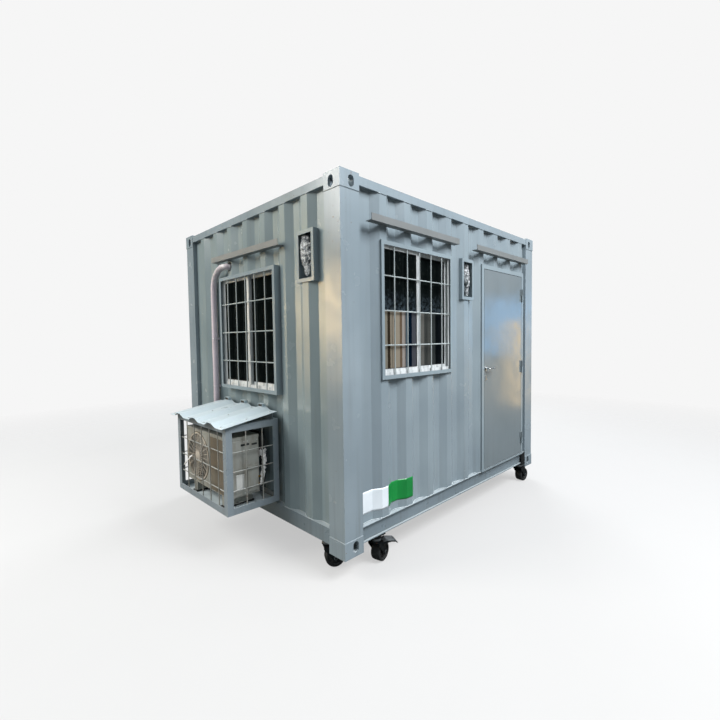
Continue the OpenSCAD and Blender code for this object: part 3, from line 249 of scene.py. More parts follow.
def addTube(bm, points, radii, sides=10, squash=1.0, lap=None, crumple=0.0):
    # a bar swept along points in metres; radii is one number or one for each point, in millimetres
    last = len(points) - 1
    radii = radii if isinstance(radii, (list, tuple)) else [radii] * (last + 1)
    ahead = (points[1] - points[0]).normalized()
    side = ahead.orthogonal().normalized()
    gone = 0
    rings = []
    for i, point in enumerate(points):
        ahead = (points[min(i + 1, last)] - points[max(i - 1, 0)]).normalized()
        side = (side - ahead * side.dot(ahead)).normalized()
        up = ahead.cross(side)
        gone += (point - points[i - 1]).length if i else 0
        ring = []
        for k, (along, aside) in enumerate(circle(sides)):
            reach = radii[i] / 1000
            if lap:  # tape wound round the bar: each lap steps up over the last
                reach += lap["step"] / 1000 * ((gone * 1000 / lap["pitch"] + k / sides) % 1)
            spot = point + side * along * reach + up * aside * reach * squash
            if crumple:
                spot += (spot - point) * crumple * (noise.noise(spot * 70) + 0.6 * noise.noise(spot * 170))
            ring.append(bm.verts.new(spot))
        rings.append(ring)
    addSkin(bm, rings, True)
    bm.faces.new(rings[0][::-1])
    bm.faces.new(rings[-1])


def addTurned(bm, outline, middle, axis, steps=24):
    # turns an outline of (radius, along) in millimetres round an axis through a point in metres
    axis = Vector(axis).normalized()
    side = axis.orthogonal().normalized()
    up = axis.cross(side)
    rings = []
    for radius, along in outline:
        turns = circle(steps)[:steps if radius > 0 else 1]
        rings.append([bm.verts.new(middle + axis * along / 1000 + (side * c + up * s) * radius / 1000)
                      for c, s in turns])
    for lower, upper in zip(rings, rings[1:]):
        for k in range(steps):
            n = (k + 1) % steps
            quad = [lower[k % len(lower)], lower[n % len(lower)]]
            quad += [upper[n % len(upper)], upper[k % len(upper)]]
            quad = [v for i, v in enumerate(quad) if v not in quad[:i]]
            if len(quad) > 2:
                bm.faces.new(quad)
    for ring, turned in ((rings[0], True), (rings[-1], False)):
        if len(ring) > 2 and outline[0] != outline[-1]:
            bm.faces.new(ring[::-1] if turned else ring)


def addBolt(bm, place, axis, across=13, head=7, washer=11):
    # a hexagon head on its washer, standing on a face
    addTurned(bm, [(washer, 0), (washer, 1.2), (across * 0.5, 1.6)], place, axis, 16)
    addTurned(bm, [(across * 0.577, 1.2), (across * 0.577, head), (across * 0.48, head + 1)], place, axis, 6)


def addBead(bm, points, radius, step=12):
    # a weld or sealant bead: its thickness ripples along the joint
    fine = []
    for first, second in zip(points, points[1:]):
        count = max(1, int((second - first).length * 1000 / step))
        fine += [first.lerp(second, i / count) for i in range(count)]
    fine.append(points[-1])
    addTube(bm, fine, [radius * (1 + 0.25 * noise.noise(p * 90)) for p in fine], 6)


def evenly(path, step):
    # points along a line at even steps in metres
    gone = [0]
    for first, second in zip(path, path[1:]):
        gone.append(gone[-1] + (second - first).length)
    count = max(2, int(gone[-1] / step))
    found, k = [], 0
    for i in range(count + 1):
        want = gone[-1] * i / count
        while k < len(path) - 2 and gone[k + 1] < want:
            k += 1
        found.append(path[k].lerp(path[k + 1], (want - gone[k]) / max(gone[k + 1] - gone[k], 1e-9)))
    return found


def smoothly(route, steps=6):
    # a soft curve through a few places
    ends = [route[0] * 2 - route[1]] + route + [route[-1] * 2 - route[-2]]
    found = []
    for a, b, c, d in zip(ends, ends[1:], ends[2:], ends[3:]):
        for i in range(steps):
            t = i / steps
            found.append(0.5 * (2 * b + (c - a) * t + (2 * a - 5 * b + 4 * c - d) * t * t
                                + (3 * b - a - 3 * c + d) * t ** 3))
    return found + [route[-1]]


def makePiece(name, bm, finish, sharp=30, bevel=0, thick=0, body="box"):
    # closes a mesh into a named piece that rides on its body
    bmesh.ops.recalc_face_normals(bm, faces=bm.faces)
    mesh = bpy.data.meshes.new(name)
    bm.to_mesh(mesh)
    bm.free()
    mesh.polygons.foreach_set("use_smooth", [True] * len(mesh.polygons))
    mesh.set_sharp_from_angle(angle=math.radians(sharp))
    mesh.materials.append(finish)
    piece = addObject(name, mesh)
    if thick:
        piece.modifiers.new("thickness", "SOLIDIFY").thickness = thick / 1000
    if bevel:
        edge = piece.modifiers.new("edges", "BEVEL")
        edge.width = bevel / 1000
        edge.segments = 2
        edge.limit_method = "ANGLE"
    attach(piece, body)
    return piece


def makeBlocks(name, blocks, finish, bevel=0):
    # a piece on the steel box that is made of plain blocks
    bm = bmesh.new()
    for low, high in blocks:
        addBlock(bm, low, high)
    return makePiece(name, bm, finish, bevel=bevel)


# materials

def addLayer(tree, place, below, tone, scale, detail, contrast=(0, 1), most=1, rough=0.5, drawn=(1, 1, 1)):
    # lays a tone over what is below in a cloudy pattern of so many clouds a metre, drawn out where asked,
    # and hands back the colour, the bare pattern and the share that the tone has
    drawnOut = addNode(tree, "Mapping", {"Vector": place, "Scale": drawn})
    cloud = addNode(tree, "TexNoise", {"Vector": drawnOut, "Scale": scale, "Detail": detail,
                                       "Roughness": rough})
    share = addNode(tree, "MapRange", [cloud, contrast[0], contrast[1], 0, most])
    colour = addNode(tree, "Mix", [share, below, linear(tone)])
    return colour, cloud, share


# what lies on the paint, with painted shade in crevices and painted light on ledges, and the paints: two
# tones that drift into each other, gloss, dust with painted crevice shade, rust, dents
soils = {"dust": "#55544d", "ledgeLightAndDust": "#c3cdd0", "rust": "#6b4833"}
paints = {
    "long walls": ("#8a979d", "#7f8c93", 0.20, 0.16, 0.0, 1.0),
    # end walls: a little darker and greener than the long walls, as painted shade and a painted colour cast
    # of the light on that side
    "end walls": ("#869497", "#7b898c", 0.20, 0.20, 0.0, 1.0),
    "frame": ("#8b989f", "#808d94", 0.20, 0.24, 0.12, 0.35),
    "roof": ("#626d73", "#566066", 0.38, 0.45, 0.25, 1.0),
    # bottom rails: darker than the frame paint, as painted shade on their faces, with more dust and rust
    "bottom rails": ("#78858c", "#6d7a81", 0.30, 0.30, 0.15, 0.6),
    "gutters": ("#787c7c", "#6d7171", 0.48, 0.30, 0.1, 0.6),
    # sealer at the foot of the walls: pale, partly its own colour and partly a painted highlight along the
    # ledge there
    "pale seam sealer, painted highlight": ("#b4bfc2", "#a2aeb2", 0.40, 0.30, 0.0, 0.3),
    "window frames": ("#8b999f", "#828f95", 0.18, 0.14, 0.0, 0.35),
    "door leaf": ("#747e82", "#6c777b", 0.09, 0.10, 0.0, 0.18),
    "cage": ("#8c979d", "#808b92", 0.30, 0.28, 0.2, 0.5),
    "round bars": ("#aeb6b6", "#959f9f", 0.38, 0.35, 0.35, 0.3),
    "cage bars": ("#aaa9a1", "#8d8d86", 0.42, 0.45, 0.6, 0.3),
    "cage sheets": ("#b0c2c9", "#a5b7bf", 0.30, 0.12, 0.0, 0.5),
    # cage floor: paler than the hood's sheets, as painted light against the shade it lies in under the unit
    "cage floor": ("#cfdbe0", "#bccace", 0.35, 0.30, 0.0, 0.4),
    "underside": ("#5a6367", "#4b5357", 0.55, 0.5, 0.3, 0.5),
}


def enamelPaint(part):
    # alkyd enamel sprayed on steel: a soft gloss that long dents and orange peel make wander,
    # rain runs down it, dust low down, dust and painted shade in the corners, pale dust and a painted
    # highlight on ledges that face up, and rust where it is chipped
    light, deep, gloss, dustAndShade, rust, dents = paints[part]
    material, tree, shader, place = startMaterial("alkyd enamel, " + part, {"IOR": 1.5})
    colour = addLayer(tree, place, linear(light), deep, 1.6, 3, (0.35, 0.65))[0]
    # rain runs are some 40 mm apart and a metre long
    drawn = addNode(tree, "Mapping", {"Vector": place, "Scale": (1, 1, 0.05)})
    runs = addNode(tree, "TexNoise", {"Vector": drawn, "Scale": 24, "Detail": 3})
    runs = addNode(tree, "MapRange", [runs, 0.5, 0.75])
    # crevices within 50 mm are darkened with the dust colour: painted shade, with some dust
    creviceShade = addNode(tree, "AmbientOcclusion", {"Distance": 0.05}, "AO", samples=6)
    creviceShade = addNode(tree, "MapRange", [creviceShade, 0.85, 0.35, 0, 1.6])
    level = addNode(tree, "SeparateXYZ", {"Vector": place}, 2)
    low = addNode(tree, "MapRange", [level, 0.75, 0.15, 0.5, 1.3])
    # the dust colour's share: rain runs and the crevices' painted shade, more of both low down
    dust = addNode(tree, "Math", [runs, creviceShade], operation="MAXIMUM")
    for share in (low, dustAndShade):
        dust = addNode(tree, "Math", [dust, share], operation="MULTIPLY")
    colour = addNode(tree, "Mix", [dust, colour, linear(soils["dust"])])
    # ledges that face up are painted paler: pale dust and a painted highlight of the light from above, most
    # of it on the low ones, which the rain doesn't wash
    upwardLightAndDust = addNode(tree, "SeparateXYZ", {"Vector": addNode(tree, "TexCoord", give="Normal")}, 2)
    upwardLightAndDust = addNode(tree, "MapRange", [upwardLightAndDust, 0.5, 0.95, 0, 0.6])
    reached = addNode(tree, "MapRange", [level, 1.5, 2.3, 1.0, 0.12])
    upwardLightAndDust = addNode(tree, "Math", [upwardLightAndDust, reached], operation="MULTIPLY")
    colour = addNode(tree, "Mix", [upwardLightAndDust, colour, linear(soils["ledgeLightAndDust"])])
    if rust:  # chips of 10 to 25 mm
        more = rust * 0.16
        colour = addLayer(tree, place, colour, soils["rust"], 38, 5, (0.68 - more, 0.76 - more), rough=0.7)[0]
    worn = addNode(tree, "TexNoise", {"Vector": place, "Scale": 6, "Detail": 3})
    worn = addNode(tree, "MapRange", [worn, 0.3, 0.7, gloss - 0.05, gloss + 0.08])
    # orange peel is 2 mm across: drawn 6 mm so that it shows
    peel = addNode(tree, "TexNoise", {"Vector": place, "Scale": 160, "Detail": 2})
    peel = addNode(tree, "Bump", {"Height": peel, "Strength": 0.1, "Distance": 0.001})
    tall = addNode(tree, "Mapping", {"Vector": place, "Scale": (1, 1, 0.45)})
    swell = addNode(tree, "TexNoise", {"Vector": tall, "Scale": 3.6, "Detail": 0.4})
    swell = addNode(tree, "Bump", {"Height": swell, "Strength": 0.45 * dents, "Distance": 0.008,
                                   "Normal": peel})
    return finishMaterial(material, shader, colour=colour, roughness=worn, normal=swell)


# painted reflections of panels in the side window's glass, up to a top, with painted mist above them: right
# edge, colour
reflectedInGlass = {
    "left": 400, "right": 1300, "top": 1700, "mist": 1860, "within": 100,
    "tones": ("#090d0d", "#2b302c", "#39434a"),
    "panels": [(472, "#6e6a5e"), (503, "#2a251d"), (612, "#7f7769"), (642, "#574a3c"), (682, "#86807a"),
               (712, "#465259"), (762, "#04101d"), (845, "#3e4045"), (905, "#30302e"), (955, "#565652"),
               (1005, "#393b39"), (1062, "#3e403d"), (1112, "#2c3030"), (1300, "#0b0f12")],
}


def glassWithPaintedLight():
    # 5 mm float glass before an unlit room: smooth, painted near black as the shade of the room behind it,
    #                                        with painted reflections of panels low down in it
    material, tree, shader, place = startMaterial(
        "float glass, painted shade and reflections", {"Roughness": 0.04, "IOR": 1.52, "Specular IOR Level": 0.22})
    dark, leaf, mist = reflectedInGlass["tones"]
    colour, fine, _ = addLayer(tree, place, linear(dark), leaf, 34, 6, (0.56, 0.74), rough=0.75)
    wobble = addNode(tree, "MapRange", [fine, 0, 1, -0.006, 0.006])
    split = addNode(tree, "SeparateXYZ", {"Vector": place}).node
    height = split.outputs[2]
    across = addNode(tree, "Math", [split.outputs[0], wobble], operation="ADD")
    first, last = reflectedInGlass["left"], reflectedInGlass["right"]
    along = addNode(tree, "MapRange", [across, at(first, 0, 0).x, at(last, 0, 0).x])
    ramp = addNode(tree, "ValToRGB", {"Fac": along}).node
    ramp.color_ramp.interpolation = "CONSTANT"
    stops = ramp.color_ramp.elements
    edge = first
    for right, tone in reflectedInGlass["panels"]:
        stop = stops[0] if edge == first else stops.new((edge - first) / (last - first))
        stop.color = linear(tone)
        edge = right
    stops.remove(stops[-1])
    panelTop = at(0, 0, reflectedInGlass["top"]).z
    mistTop = at(0, 0, reflectedInGlass["mist"]).z
    lower = addNode(tree, "MapRange", [height, panelTop, panelTop - 0.012])
    misty = addNode(tree, "MapRange", [height, mistTop, panelTop])
    speckled = addNode(tree, "MapRange", [fine, 0.42, 0.6, 0, 0.9])
    misty = addNode(tree, "Math", [misty, speckled], operation="MULTIPLY")
    inFront = at(0, reflectedInGlass["within"], 0).y
    onSide = addNode(tree, "Math", [split.outputs[1], inFront], operation="LESS_THAN")
    # painted reflections on the side window only: panels low down and mist above them
    for share, reflectedTone in ((misty, linear(mist)), (lower, ramp.outputs[0])):
        share = addNode(tree, "Math", [share, onSide], operation="MULTIPLY")
        colour = addNode(tree, "Mix", [share, colour, reflectedTone])
    bow = addNode(tree, "TexNoise", {"Vector": place, "Scale": 3})
    bow = addNode(tree, "Bump", {"Height": bow, "Strength": 0.2, "Distance": 0.002})
    return finishMaterial(material, shader, colour=colour, normal=bow)


def platedSteel(name, light, deep, gloss, rust=0.0):
    # zinc, nickel or bare metal: a dull sheen with cloudy patches some 20 mm across
    material, tree, shader, place = startMaterial(name, {"Metallic": 1.0})
    colour, _, cloud = addLayer(tree, place, linear(light), deep, 45, 4, (0.3, 0.7))
    if rust:
        more = rust * 0.2
        colour = addLayer(tree, place, colour, soils["rust"], 60, 5, (0.62 - more, 0.72 - more), rough=0.7)[0]
    rough = addNode(tree, "MapRange", [cloud, 0, 1, gloss - 0.08, gloss + 0.12])
    bump = addNode(tree, "Bump", {"Height": cloud, "Strength": 0.15, "Distance": 0.0005})
    return finishMaterial(material, shader, colour=colour, roughness=rough, normal=bump)


def crumpledFilm():
    # clear polythene film crumpled round a plug: glossy; its creases are painted silvery white as painted
    # highlights and its folds dark grey as painted shade
    material, tree, shader, place = startMaterial("crumpled polythene film, painted glints and shade",
                                                  {"IOR": 1.49, "Transmission Weight": 0.25})
    colour, creaseGlintAndShade, _ = addLayer(tree, place, linear("#5c6266"), "#f1f6f8", 48, 5, (0.4, 0.62), rough=0.75)
    rough = addNode(tree, "MapRange", [creaseGlintAndShade, 0.3, 0.7, 0.12, 0.4])
    bump = addNode(tree, "Bump", {"Height": creaseGlintAndShade, "Strength": 0.9, "Distance": 0.008})
    return finishMaterial(material, shader, colour=colour, roughness=rough, normal=bump)


def evenFinish(name, fixed, tones, pattern, bump, dust=None, grain=None):
    # a finish of one gloss: two tones in a pattern, dust over them, and a bump of so much strength and
    # depth, whose grain (a metre's count, detail) is its own or the pattern's
    material, tree, shader, place = startMaterial(name, fixed)
    colour, cloud, _ = addLayer(tree, place, linear(tones[0]), tones[1], **pattern)
    if dust:
        colour = addLayer(tree, place, colour, **dust)[0]
    if grain:
        cloud = addNode(tree, "TexNoise", {"Vector": place, "Scale": grain[0], "Detail": grain[1]})
    bump = addNode(tree, "Bump", {"Height": cloud, "Strength": bump[0], "Distance": bump[1]})
    return finishMaterial(material, shader, colour=colour, normal=bump)


def mouldedPlastic(name, tone, ior=1.46, gloss=0.45):
    # moulded thermoplastic: an even colour, a little dust and a fine spark-eroded grain, which is 0.5 mm
    # across and drawn 2.4 mm so that it shows
    return evenFinish(name, {"IOR": ior, "Roughness": gloss}, (tone, "#8f8c82"),
                      {"scale": 40, "detail": 4, "contrast": (0.5, 0.8), "most": 0.3}, (0.15, 0.0004),
                      grain=(420, 2))


def bakedPolyester(name, light, deep, dusty):
    # baked polyester coat on the cooling unit's sheet, gone beige with dust that the rain has run
    return evenFinish(name, {"IOR": 1.5, "Roughness": 0.5}, (light, deep),
                      {"scale": 5, "detail": 4, "contrast": (0.3, 0.7)}, (0.12, 0.0005), grain=(260, 2),
                      dust={"tone": "#6d5f4c", "scale": 26, "detail": 5, "contrast": (0.42, 0.7),
                            "most": dusty, "drawn": (1, 1, 0.3)})


def vinylTape(name, light, deep):
    # white vinyl tape wound over foam: satin, faintly pink, creased across the laps
    return evenFinish(name, {"IOR": 1.53, "Roughness": 0.42}, (light, deep),
                      {"scale": 9, "detail": 3, "contrast": (0.3, 0.7)}, (0.4, 0.002), grain=(70, 3))


def castVinyl(name, light, deep):
    # cast vinyl film rolled onto the sheet: satin, with small trapped bubbles
    return evenFinish(name, {"IOR": 1.5, "Roughness": 0.34}, (light, deep),
                      {"scale": 7, "detail": 3, "contrast": (0.35, 0.7)}, (0.2, 0.001), grain=(60, 4))


paint = {part: enamelPaint(part) for part in paints}
darkSteel = platedSteel("black oxide steel", "#34383a", "#24282a", 0.42, 0.05)
stainless = platedSteel("satin stainless steel", "#cfd2d2", "#b4b8b8", 0.25)
zincPlate = platedSteel("bright zinc plate", "#dfe2e2", "#b4b8b8", 0.32, 0.02)
dullZinc = platedSteel("dull zinc plate", "#85898b", "#64686a", 0.5, 0.1)
brass = platedSteel("turned brass", "#b3965a", "#8d7440", 0.35)
finStock = platedSteel("aluminium fin stock", "#8d9294", "#6f7476", 0.45)
unitCoat = bakedPolyester("baked polyester coat", "#9ea09a", "#8d8f88", 0.4)
# the unit's front and fan ring take a darker copy of the coat: painted shade inside the cage, with more dust
shadedFrontCoat = bakedPolyester("baked polyester coat, front in painted shade and dust", "#6c675b", "#585247", 0.6)
guardCoat = bakedPolyester("baked polyester coat, guard", "#cbc4b8", "#a89f92", 0.35)
tape = vinylTape("vinyl wrapping tape", "#cdc2c9", "#b9aeb6")
# whiter than the wrap: partly the loose tape's own white, partly painted light where it hangs in the cage's
# shade
looseTape = vinylTape("vinyl tape, loose end, painted brighter", "#f6f5f3", "#d8d6d2")
creasedTape = vinylTape("vinyl tape, creased wrap", "#c6c5c6", "#a3a1a3")
blackPlastic = mouldedPlastic("moulded polypropylene, black", "#1d1f20", 1.49, 0.5)
socketPlastic = mouldedPlastic("moulded ABS, slate", "#3c464a")
labelFilm = castVinyl("cast vinyl film, bare label", "#d9dad6", "#c6c7c2")
film = crumpledFilm()
glass = glassWithPaintedLight()
# white powder coat on the window sections: satin, greyed by dust that the rain has drawn down
aluminium = evenFinish("powder coated aluminium", {"IOR": 1.5, "Roughness": 0.36}, ("#d4d8d8", "#9ea4a5"),
                       {"scale": 50, "detail": 4, "contrast": (0.45, 0.75), "drawn": (1, 1, 0.12)},
                       (0.1, 0.0004), grain=(300, 2))
# black rubber tyre: matt, scuffed grey where it has rolled
rubber = evenFinish("vulcanised rubber", {"IOR": 1.52, "Roughness": 0.62}, ("#17191a", "#3d3d3a"),
                    {"scale": 55, "detail": 5, "contrast": (0.5, 0.75), "most": 0.45}, (0.3, 0.001))
# brown film-faced plywood deck: the veneer's grain runs along the box
plywood = evenFinish("film faced plywood", {"IOR": 1.5, "Roughness": 0.5}, ("#4f3c2b", "#77604a"),
                     {"scale": 30, "detail": 6, "rough": 0.65, "drawn": (0.08, 1, 1)}, (0.2, 0.001))
# white coated insulation panel: smooth, faintly uneven
lining = evenFinish("coated insulation panel", {"IOR": 1.5, "Roughness": 0.4}, ("#dfe0dc", "#cfd1cd"),
                    {"scale": 2.5, "detail": 3}, (0.2, 0.003))
finishes = [
    (paint["frame"], "corner_castings corner_posts top_rails"),
    (paint["bottom rails"], "bottom_rails"),
    (paint["underside"], "floor_beams"),
    (paint["roof"], "roof_sheet"),
    (paint["long walls"], "front_wall front_wall_over_door front_wall_beside_door back_wall"),
    (paint["end walls"], "unit_end_wall far_end_wall"),
    (paint["window frames"], "window_frames niche_boxes door_frame door_hinge_pins"),
    (paint["door leaf"], "door_leaf door_hinge_barrels"),
    (paint["round bars"], "window_grilles"),
    (paint["gutters"], "rain_gutters"),
    (paint["cage"], "cage_frame"),
    (paint["cage bars"], "cage_front_grille cage_side_grilles"),
    (paint["cage floor"], "cage_floor"),
    (paint["cage sheets"], "cage_roof_sheet"),
    (plywood, "floor_deck"),
    (lining, "ceiling wall_linings"),
    (aluminium, "window_sashes"),
    (glass, "window_glass"),
    (socketPlastic, "niche_sockets"),
    (stainless, "door_lever door_lock"),
    (unitCoat, "unit_case unit_valve_cover"),
    (guardCoat, "unit_fan_guard"),
    (tape, "refrigerant_line"),
    (darkSteel, "castor_plates " + " ".join(f"castor_bracket_{n}" for n in range(1, 7))),
    (rubber, " ".join(f"castor_wheel_{n}" for n in range(1, 7))),
]
for finish, worn in finishes:
    for name in worn.split():
        mesh = nodes[name].data
        mesh.materials.clear()
        mesh.materials.append(finish)
print("materials set on", sum(len(worn.split()) for _, worn in finishes), "nodes")


# the pressed wall sheets: middle of the first crest, pitch and number of crests along each face
sheets = {"front": (419, 282, 9), "back": (316, 282, 9), "ends": (385, 278, 7)}
wave = {"crest": 36, "slope": 68, "face": 6, "depth": 36}


def sheetDepth(face, along):
    # how far the sheet's outer face lies behind the faces of the castings
    first, pitch, count = sheets[face]
    k = min(max(round((along - first) / pitch), 0), count - 1)
    off = abs(along - first - k * pitch)
    return wave["face"] + wave["depth"] * min(max((off - wave["crest"]) / wave["slope"], 0), 1)


boxLength, boxWidth = inBox(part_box("corner_castings")[1])[:2]


def onWall(wall, along, z, proud):
    # a point that stands so far proud of the pressed sheet of one of the four walls
    depth = sheetDepth(wall if wall in sheets else "ends", along) - proud
    if wall == "front":
        return at(along, depth, z)
    if wall == "back":
        return at(along, boxWidth - depth, z)
    return at(depth if wall == "unitEnd" else boxLength - depth, along, z)


# sealant beads where the sheets meet the rails: first and last place along each wall, and steps
sealant = {"levels": {"low": 177, "high": 2514}, "radius": 4.1, "proud": 1, "ripple": 40, "doorFrom": 1810,
           "runs": {"front": (180, 2811, 140), "back": (180, 2811, 200), "unitEnd": (164, 2274, 170),
                    "farEnd": (164, 2274, 170)}}
for level, z in sealant["levels"].items():
    bm = bmesh.new()
    for wall, (first, last, count) in sealant["runs"].items():
        if wall == "front" and level == "low":
            last = sealant["doorFrom"]
        path = [onWall(wall, along, z, sealant["proud"]) for along in evenSteps(first, last, count)]
        addBead(bm, path, sealant["radius"], sealant["ripple"])
    # the low beads are pale, partly a painted highlight along the foot of the walls; the high ones take the
    # wall paint
    bead = paint["pale seam sealer, painted highlight" if level == "low" else "long walls"]
    makePiece("sheet_sealant_" + level, bm, bead, 60)

# blanking plate welded into the oval hole in the end face of the front casting
blank = {"y": 89.5, "z": 67, "wide": 53, "tall": 81, "from": -0.8, "to": 5, "points": 40}
radius = blank["wide"] / 2
straight = blank["tall"] / 2 - radius
rim = [(blank["y"] + radius * c, blank["z"] + radius * s + math.copysign(straight, s))
       for c, s in circle(blank["points"], 0.5)]
bm = bmesh.new()
faces = [[bm.verts.new(at(x, y, z)) for y, z in rim] for x in (blank["from"], blank["to"])]
bm.faces.new(faces[0])
bm.faces.new(faces[1][::-1])
addSkin(bm, faces, True)
makePiece("casting_blank", bm, paint["frame"], 40, 0.4)

# weld beads between posts and castings
welds = {"levels": (118, 2473), "radius": 3.6, "inset": 5.4, "long": 172, "short": 156, "ripple": 9}
bm = bmesh.new()
for z in welds["levels"]:
    for farX in (False, True):
        for farY in (False, True):
            run = [(welds["long"], welds["inset"]), (welds["inset"], welds["inset"]),
                   (welds["inset"], welds["short"])]
            addBead(bm, [at(boxLength - x if farX else x, boxWidth - y if farY else y, z) for x, y in run],
                    welds["radius"], welds["ripple"])
makePiece("post_welds", bm, paint["frame"], 60)
print("beads laid")


# vinyl panels near the foot of the door side, left bare; they follow the sheet's folds
decal = {"white": (182, 449), "green": (449, 754), "low": 240, "high": 400, "proud": 0.6, "thick": 0.3,
         "folds": (315, 383, 455, 523, 597, 665, 737), "columns": 30, "rows": 12,
         "colours": {"white": ("#e9f0f4", "#dbe3e8"), "green": ("#0b8a3b", "#0a7a35")}}
for colour, tones in decal["colours"].items():
    first, last = decal[colour]
    folds = [x for x in decal["folds"] if first < x < last]
    across = sorted(set(evenSteps(first, last, decal["columns"]) + folds))
    bm = bmesh.new()
    addSkin(bm, [[bm.verts.new(onWall("front", x, z, decal["proud"])) for x in across]
                 for z in evenSteps(decal["low"], decal["high"], decal["rows"])])
    vinyl = castVinyl("cast vinyl film, " + colour, *tones)
    makePiece("vinyl_panel_" + colour, bm, vinyl, 60, thick=decal["thick"])
print("vinyl panels on the wall")


# black gaskets round the panes
gasket = {"wide": 5, "proud": 3}
bm = bmesh.new()
paneMesh = bmesh.new()
paneMesh.from_mesh(nodes["window_glass"].data)
bmesh.ops.remove_doubles(paneMesh, verts=paneMesh.verts, dist=1e-5)
seenVerts = set()
for start in paneMesh.verts:
    if start in seenVerts:
        continue
    found = [start]  # all that hangs together with it is one pane
    seenVerts.add(start)
    for v in found:
        for other in (link.other_vert(v) for link in v.link_edges):
            if other not in seenVerts:
                seenVerts.add(other)
                found.append(other)
    places = [inBox(v.co) for v in found]
    low = Vector([min(p[i] for p in places) for i in range(3)])
    high = Vector([max(p[i] for p in places) for i in range(3)])
    run = 0 if high.x - low.x > high.y - low.y else 1  # the pane lies along x or along y
    for side in range(4):
        a, b = low.copy(), high.copy()
        a[1 - run] = low[1 - run] - gasket["proud"]
        b[1 - run] = low[1 - run]
        axis = run if side < 2 else 2
        if side % 2:
            a[axis] = high[axis] - gasket["wide"]
        else:
            b[axis] = low[axis] + gasket["wide"]
        addBlock(bm, a, b)
paneMesh.free()
makePiece("pane_gaskets", bm, rubber)
print("panes sealed")


# lever handles on both faces of the leaf, on one spindle: where each starts and how far it stands out
pivot = inBox(joints["lever_turn"]["pos_m"])
lever = {"outer": (-15, -51), "inner": (36, 77), "reach": 119, "turn": 14, "neck": 8.5, "arm": 8, "tip": 6.5,
         "taper": 12, "round": (5.5, 3), "spindle": 4.5,
         "rose": [(0, 0), (15, 0), (16, 1.5), (15, 3), (0, 3)]}
bm = bmesh.new()
for start, out in (lever["outer"], lever["inner"]):
    bow = math.copysign(lever["turn"], out - start)
    route = [(0, start), (0, (start + out - bow) / 2), (1, out - bow * 0.45), (lever["turn"], out),
             (60, out), (lever["reach"], out - bow * 0.1)]
    curve = smoothly([at(pivot.x + x, y, pivot.z) for x, y in route], 8)
    radii = [lever["neck"]] * 14 + [lever["arm"]] * 10
    thinner = (lever["tip"] - lever["arm"]) / lever["taper"]
    radii += [lever["arm"] + thinner * i for i in range(len(curve) - len(radii) - 2)]
    addTube(bm, curve, radii + list(lever["round"]), 16)
    addTurned(bm, lever["rose"], at(pivot.x, start, pivot.z), (0, out - start, 0), 28)
ends = [at(pivot.x, lever[side][0], pivot.z) for side in ("outer", "inner")]
addTube(bm, ends, lever["spindle"], 4)
handle = makePiece("lever_handles", bm, stainless, 40, body="lever")
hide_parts("door_lever")
print("lever fitted")


# wrapped refrigerant line: out of the end wall, round a big bend, down, and in to the cooling unit
wrap = {"radius": 26.2, "step": 1.3, "pitch": 38, "sides": 28, "hole": (1497, 2160), "drop": 1760, "out": 30,
        "bend": 195, "tight": 60, "behind": 90, "low": 735, "end": (864, 565), "slant": 40,
        "clips": (1050, 1500), "block": (7, 5.6, 20, 22), "strap": 29.5, "wire": 1.6, "taped": 850,
        "foamOver": 12, "creased": 2040, "putty": (36, 7)}


def bend(start, heading, towards, radius, turn, steps):
    # an arc from a start, turned from one heading towards another
    return [start + radius * (heading * math.sin(a) + towards * (1 - math.cos(a)))
            for a in (math.radians(turn * i / steps) for i in range(steps + 1))]


out, tight, low, drop = -wrap["out"], wrap["tight"], wrap["low"], wrap["drop"]
hole, high = wrap["hole"]
slant = math.radians(wrap["slant"])
slanting = Vector((-math.sin(slant), -math.cos(slant), 0))
easing = Vector((math.cos(slant), -math.sin(slant), 0))
run = (wrap["behind"] - wrap["out"] - tight * (math.sin(slant) + 1 - math.cos(slant))) / math.sin(slant)
swing = Vector((out, drop, low)) + slanting * (tight + run)
left, inward, down = Vector((0, 1, 0)), Vector((-1, 0, 0)), Vector((0, 0, -1))
path = [Vector((44, hole, high))]
path += bend(Vector((tight + out, hole, high)), inward, left, tight, 90, 12)
path += bend(Vector((out, drop - wrap["bend"], high)), left, down, wrap["bend"], 90, 20)
path += bend(Vector((out, drop, low + tight)), down, slanting, tight, 90, 12)
path += bend(swing, slanting, easing, tight, wrap["slant"], 8)
path += bend(Vector((-wrap["behind"], wrap["end"][0] + tight, low)), -left, down, tight, 90, 12)
path.append(Vector((-wrap["behind"], wrap["end"][0], wrap["end"][1])))
bm = bmesh.new()
centre = evenly([at(*p) for p in path], 0.006)
taped = [p for p in centre if inBox(p).z > wrap["taped"]]
loose = [wrap["radius"] + 1.2 * noise.noise(p * 9) for p in taped]
addTube(bm, taped, loose, wrap["sides"], lap=wrap)
proud, deep, half, tall = wrap["block"]
for z in wrap["clips"]:  # blocks that the line is strapped to
    addBlock(bm, (-proud, drop - half, z), (deep, drop + half, z + tall))
line = makePiece("wrapped_line", bm, tape, 50)
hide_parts("refrigerant_line")
bm = bmesh.new()  # a second, looser wrap creases round the bends by the wall
loose = [p for p in centre if inBox(p).z > wrap["creased"]]
addTube(bm, loose[5:], wrap["radius"] + 0.4, 26, crumple=0.22)
makePiece("line_loose_wrap", bm, creasedTape, 50)
bm = bmesh.new()  # below the hood the foam sleeve is bare
addTube(bm, [p for p in centre if inBox(p).z < wrap["taped"] + wrap["foamOver"]], wrap["radius"] - 1.5, 24)
makePiece("line_foam", bm, rubber, 50)
bm = bmesh.new()
strap = wrap["strap"]
